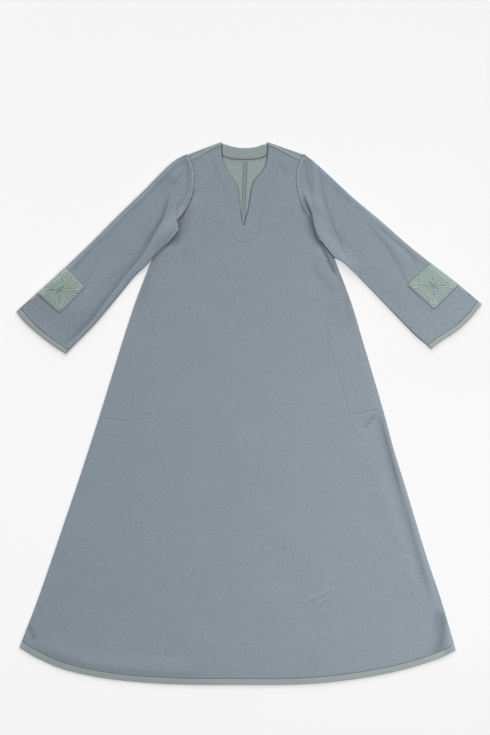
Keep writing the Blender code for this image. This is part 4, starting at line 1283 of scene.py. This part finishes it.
HEM_SHARES = (0, 0.03, 0.09, 0.2, 0.5, 0.8, 0.92, 1)
seam = aside(hem_seam, SEAM_GAP)
seam_spots = spaced(hem_seam, 0.004)
seam_heights = front_top(seam_spots)


def hem_top(points):
    """The band's upper face, level with the front along their seam."""
    share = np.clip(nearest(hem_line, points)[0] / HEM_BAND, 0, 1)
    at_seam = np.interp(points[:, 0], seam_spots[:, 0], seam_heights)
    own = HEM_LAID + 0.0003 * waves(points, 0.110, 3) + 0.00025 * waves(points, 0.018, 43)
    return own + (at_seam - own) * ease(share)


def hem_under(points):
    return np.full(len(points), BAND_WALL)


for half, tops in (("front", hem_top), ("back", hem_under)):
    cloths = (trim_cloth,) * 3
    band = strip("hem_binding_" + half, hem_line, seam, 300, tops, cloths, BAND_WALL, HEM_SHARES)
    settle(band, "sage_cloth", "hem_band_" + half)
    if half == "front":
        line = laid_on(spaced(hem_seam, 0.003)[2:-2], front_top, -0.0003)
        settle(sewn_row("hem_seam_stitches", [line], *SEAM_STITCH), "sage_cloth")


# --- embroidered squares -----------------------------------
# A sage square is laid on each forearm and turned over the sleeve's outer fold. Thick sage
# cords are couched over it in a sunburst with a blue-grey star at its heart.

# Shares of the outer fold between which the square lies, its inner corners, and the height
# of the sunburst's middle as a share of the square
PATCHES = {
    "right": ((0.731, 0.902), ((-0.4400, 0.3385), (-0.5085, 0.2690)), 0.445),
    "left": ((0.734, 0.891), ((0.4240, 0.3445), (0.4958, 0.2795)), 0.500),
}
CORD = 0.0018


def patch_face(side, squares, above):
    """Points on the sleeve's face by their shares along and across the square, and a height."""
    (start, end), corners, _ = PATCHES[side]
    fold = smooth(SLEEVE_OUTER[side])
    inner = np.array(corners)
    along, across = squares[:, :1], squares[:, 1:]
    on_fold = at(fold, start + (end - start) * along[:, 0])
    first, last = at(fold, (start, end))
    way = (inner[0] - first) * (1 - along) + (inner[1] - last) * along
    flat = on_fold + across * way
    depth = across[:, 0] * np.linalg.norm(way, axis=1)
    rounding = np.sqrt(1 - (1 - np.clip(depth / ROLL, 0, 1)) ** 2)
    inward = way / np.linalg.norm(way, axis=1)[:, None]
    flat -= (above * np.sqrt(1 - rounding**2))[:, None] * inward
    high = sleeve_top(side, flat)
    return with_height(flat, high / 2 * (1 + rounding) + above * rounding)


RAYS = 40
MARGIN = 0.045
LONGEST_RAY = 0.545
HEART = 0.03
# How far a spoke of the star reaches from the middle, and where the ray beyond it begins
LONG_SPOKE, SHORT_SPOKE = (0.290, 0.310), (0.140, 0.160)
CHEVRONS = (0.050, 0.100, 0.150)


def sunburst(middle):
    """The square's cords as lines of shares: rays, corner chevrons, and the star's spokes."""
    centre = np.array([0.5, middle])
    rays, star = [], []
    for number in range(RAYS):
        turn = 2 * math.pi * number / RAYS
        way = np.array([math.cos(turn), math.sin(turn)])
        room = np.where(way > 0, 1 - MARGIN - centre, centre - MARGIN) / np.maximum(abs(way), 1e-6)
        near = 0.250 if number % 2 else 0.130 if number % 4 else 0.070
        if number % (RAYS // 8) == 0:
            spoke, near = LONG_SPOKE if number % (RAYS // 4) else SHORT_SPOKE
            star.append([centre + HEART * way, centre + spoke * way])
        rays.append([centre + near * way, centre + min(room.min(), LONGEST_RAY) * way])
    for x in (0, 1):
        for y in (0, 1):
            for inset in CHEVRONS:
                leg = 0.170 - 0.5 * inset
                points = [(inset, inset + leg), (inset, inset), (inset + leg, inset)]
                rays.append([(abs(x - a), abs(y - b)) for a, b in points])
    turns = np.linspace(0, 4.5 * math.pi, 40)
    reach = 0.004 + 0.030 * turns / turns[-1]
    star.append(centre + reach[:, None] * np.stack([np.cos(turns), np.sin(turns)], -1))
    return rays, star


# Shares across the square, close together where it turns over the fold
SQUARE_ROWS = np.concatenate([(0, 0.004, 0.012, 0.022, 0.032), np.linspace(0.05, 0.985, 34), (1,)])
SQUARE_COLUMNS = 38
SQUARE_THICKNESS = 0.0004
CORD_HEIGHT = 0.0007 + 0.25 * CORD
RIM_LINE = [(-0.006, 0.02), (-0.006, 1.006), (1.006, 1.006), (1.006, 0.02)]
patch_cloth = cloth("patch_ground", (0.270, 0.335, 0.328), contrast=0.05)
cord_thread = cloth("cord_sage", (0.445, 0.540, 0.482), contrast=0.10)
edge_thread = cloth("square_edge_thread", (0.145, 0.143, 0.168), contrast=0.10)
star_thread = cloth("cord_blue_grey", (0.245, 0.300, 0.345), contrast=0.10)
for side in SIDES:
    x, y = np.meshgrid(np.linspace(0, 1, SQUARE_COLUMNS), SQUARE_ROWS)
    squares = np.stack([x.ravel(), y.ravel()], -1)
    rim = np.minimum(np.minimum(squares[:, 0], 1 - squares[:, 0]), 1 - squares[:, 1])
    high = SEAM_GAP + SQUARE_THICKNESS * (0.3 + 0.7 * ease(rim / 0.03))
    ground = cloth_wall(
        "embroidered_square_" + side,
        grid_faces(len(SQUARE_ROWS), SQUARE_COLUMNS),
        patch_face(side, squares, high),
        patch_face(side, squares, np.full(len(squares), 0.0001)),
        (patch_cloth,) * 3,
        0.0001,
    )
    settle(ground, "embroidery", "patch_" + side)
    rays, star = sunburst(PATCHES[side][2])
    made = []
    for name, lines, above, look in (
        ("square_edge_stitches_", [RIM_LINE], 0.0, (edge_thread, 0.0014, 0.0032, 0.0011, 0.5)),
        ("couched_cord_", rays, CORD_HEIGHT, (cord_thread, 0.0013, 0.0032, CORD, 0.6)),
        ("star_cord_", star, CORD_HEIGHT, (star_thread, 0.0013, 0.0032, CORD, 0.6)),
    ):
        lines = [spaced(np.array(line, float), 0.02) for line in lines]
        lines = [patch_face(side, line, np.full(len(line), above)) for line in lines]
        made.append(sewn_row(name + side, lines, *look))
        settle(made[-1], "embroidery")
    outline, cords, stars = made
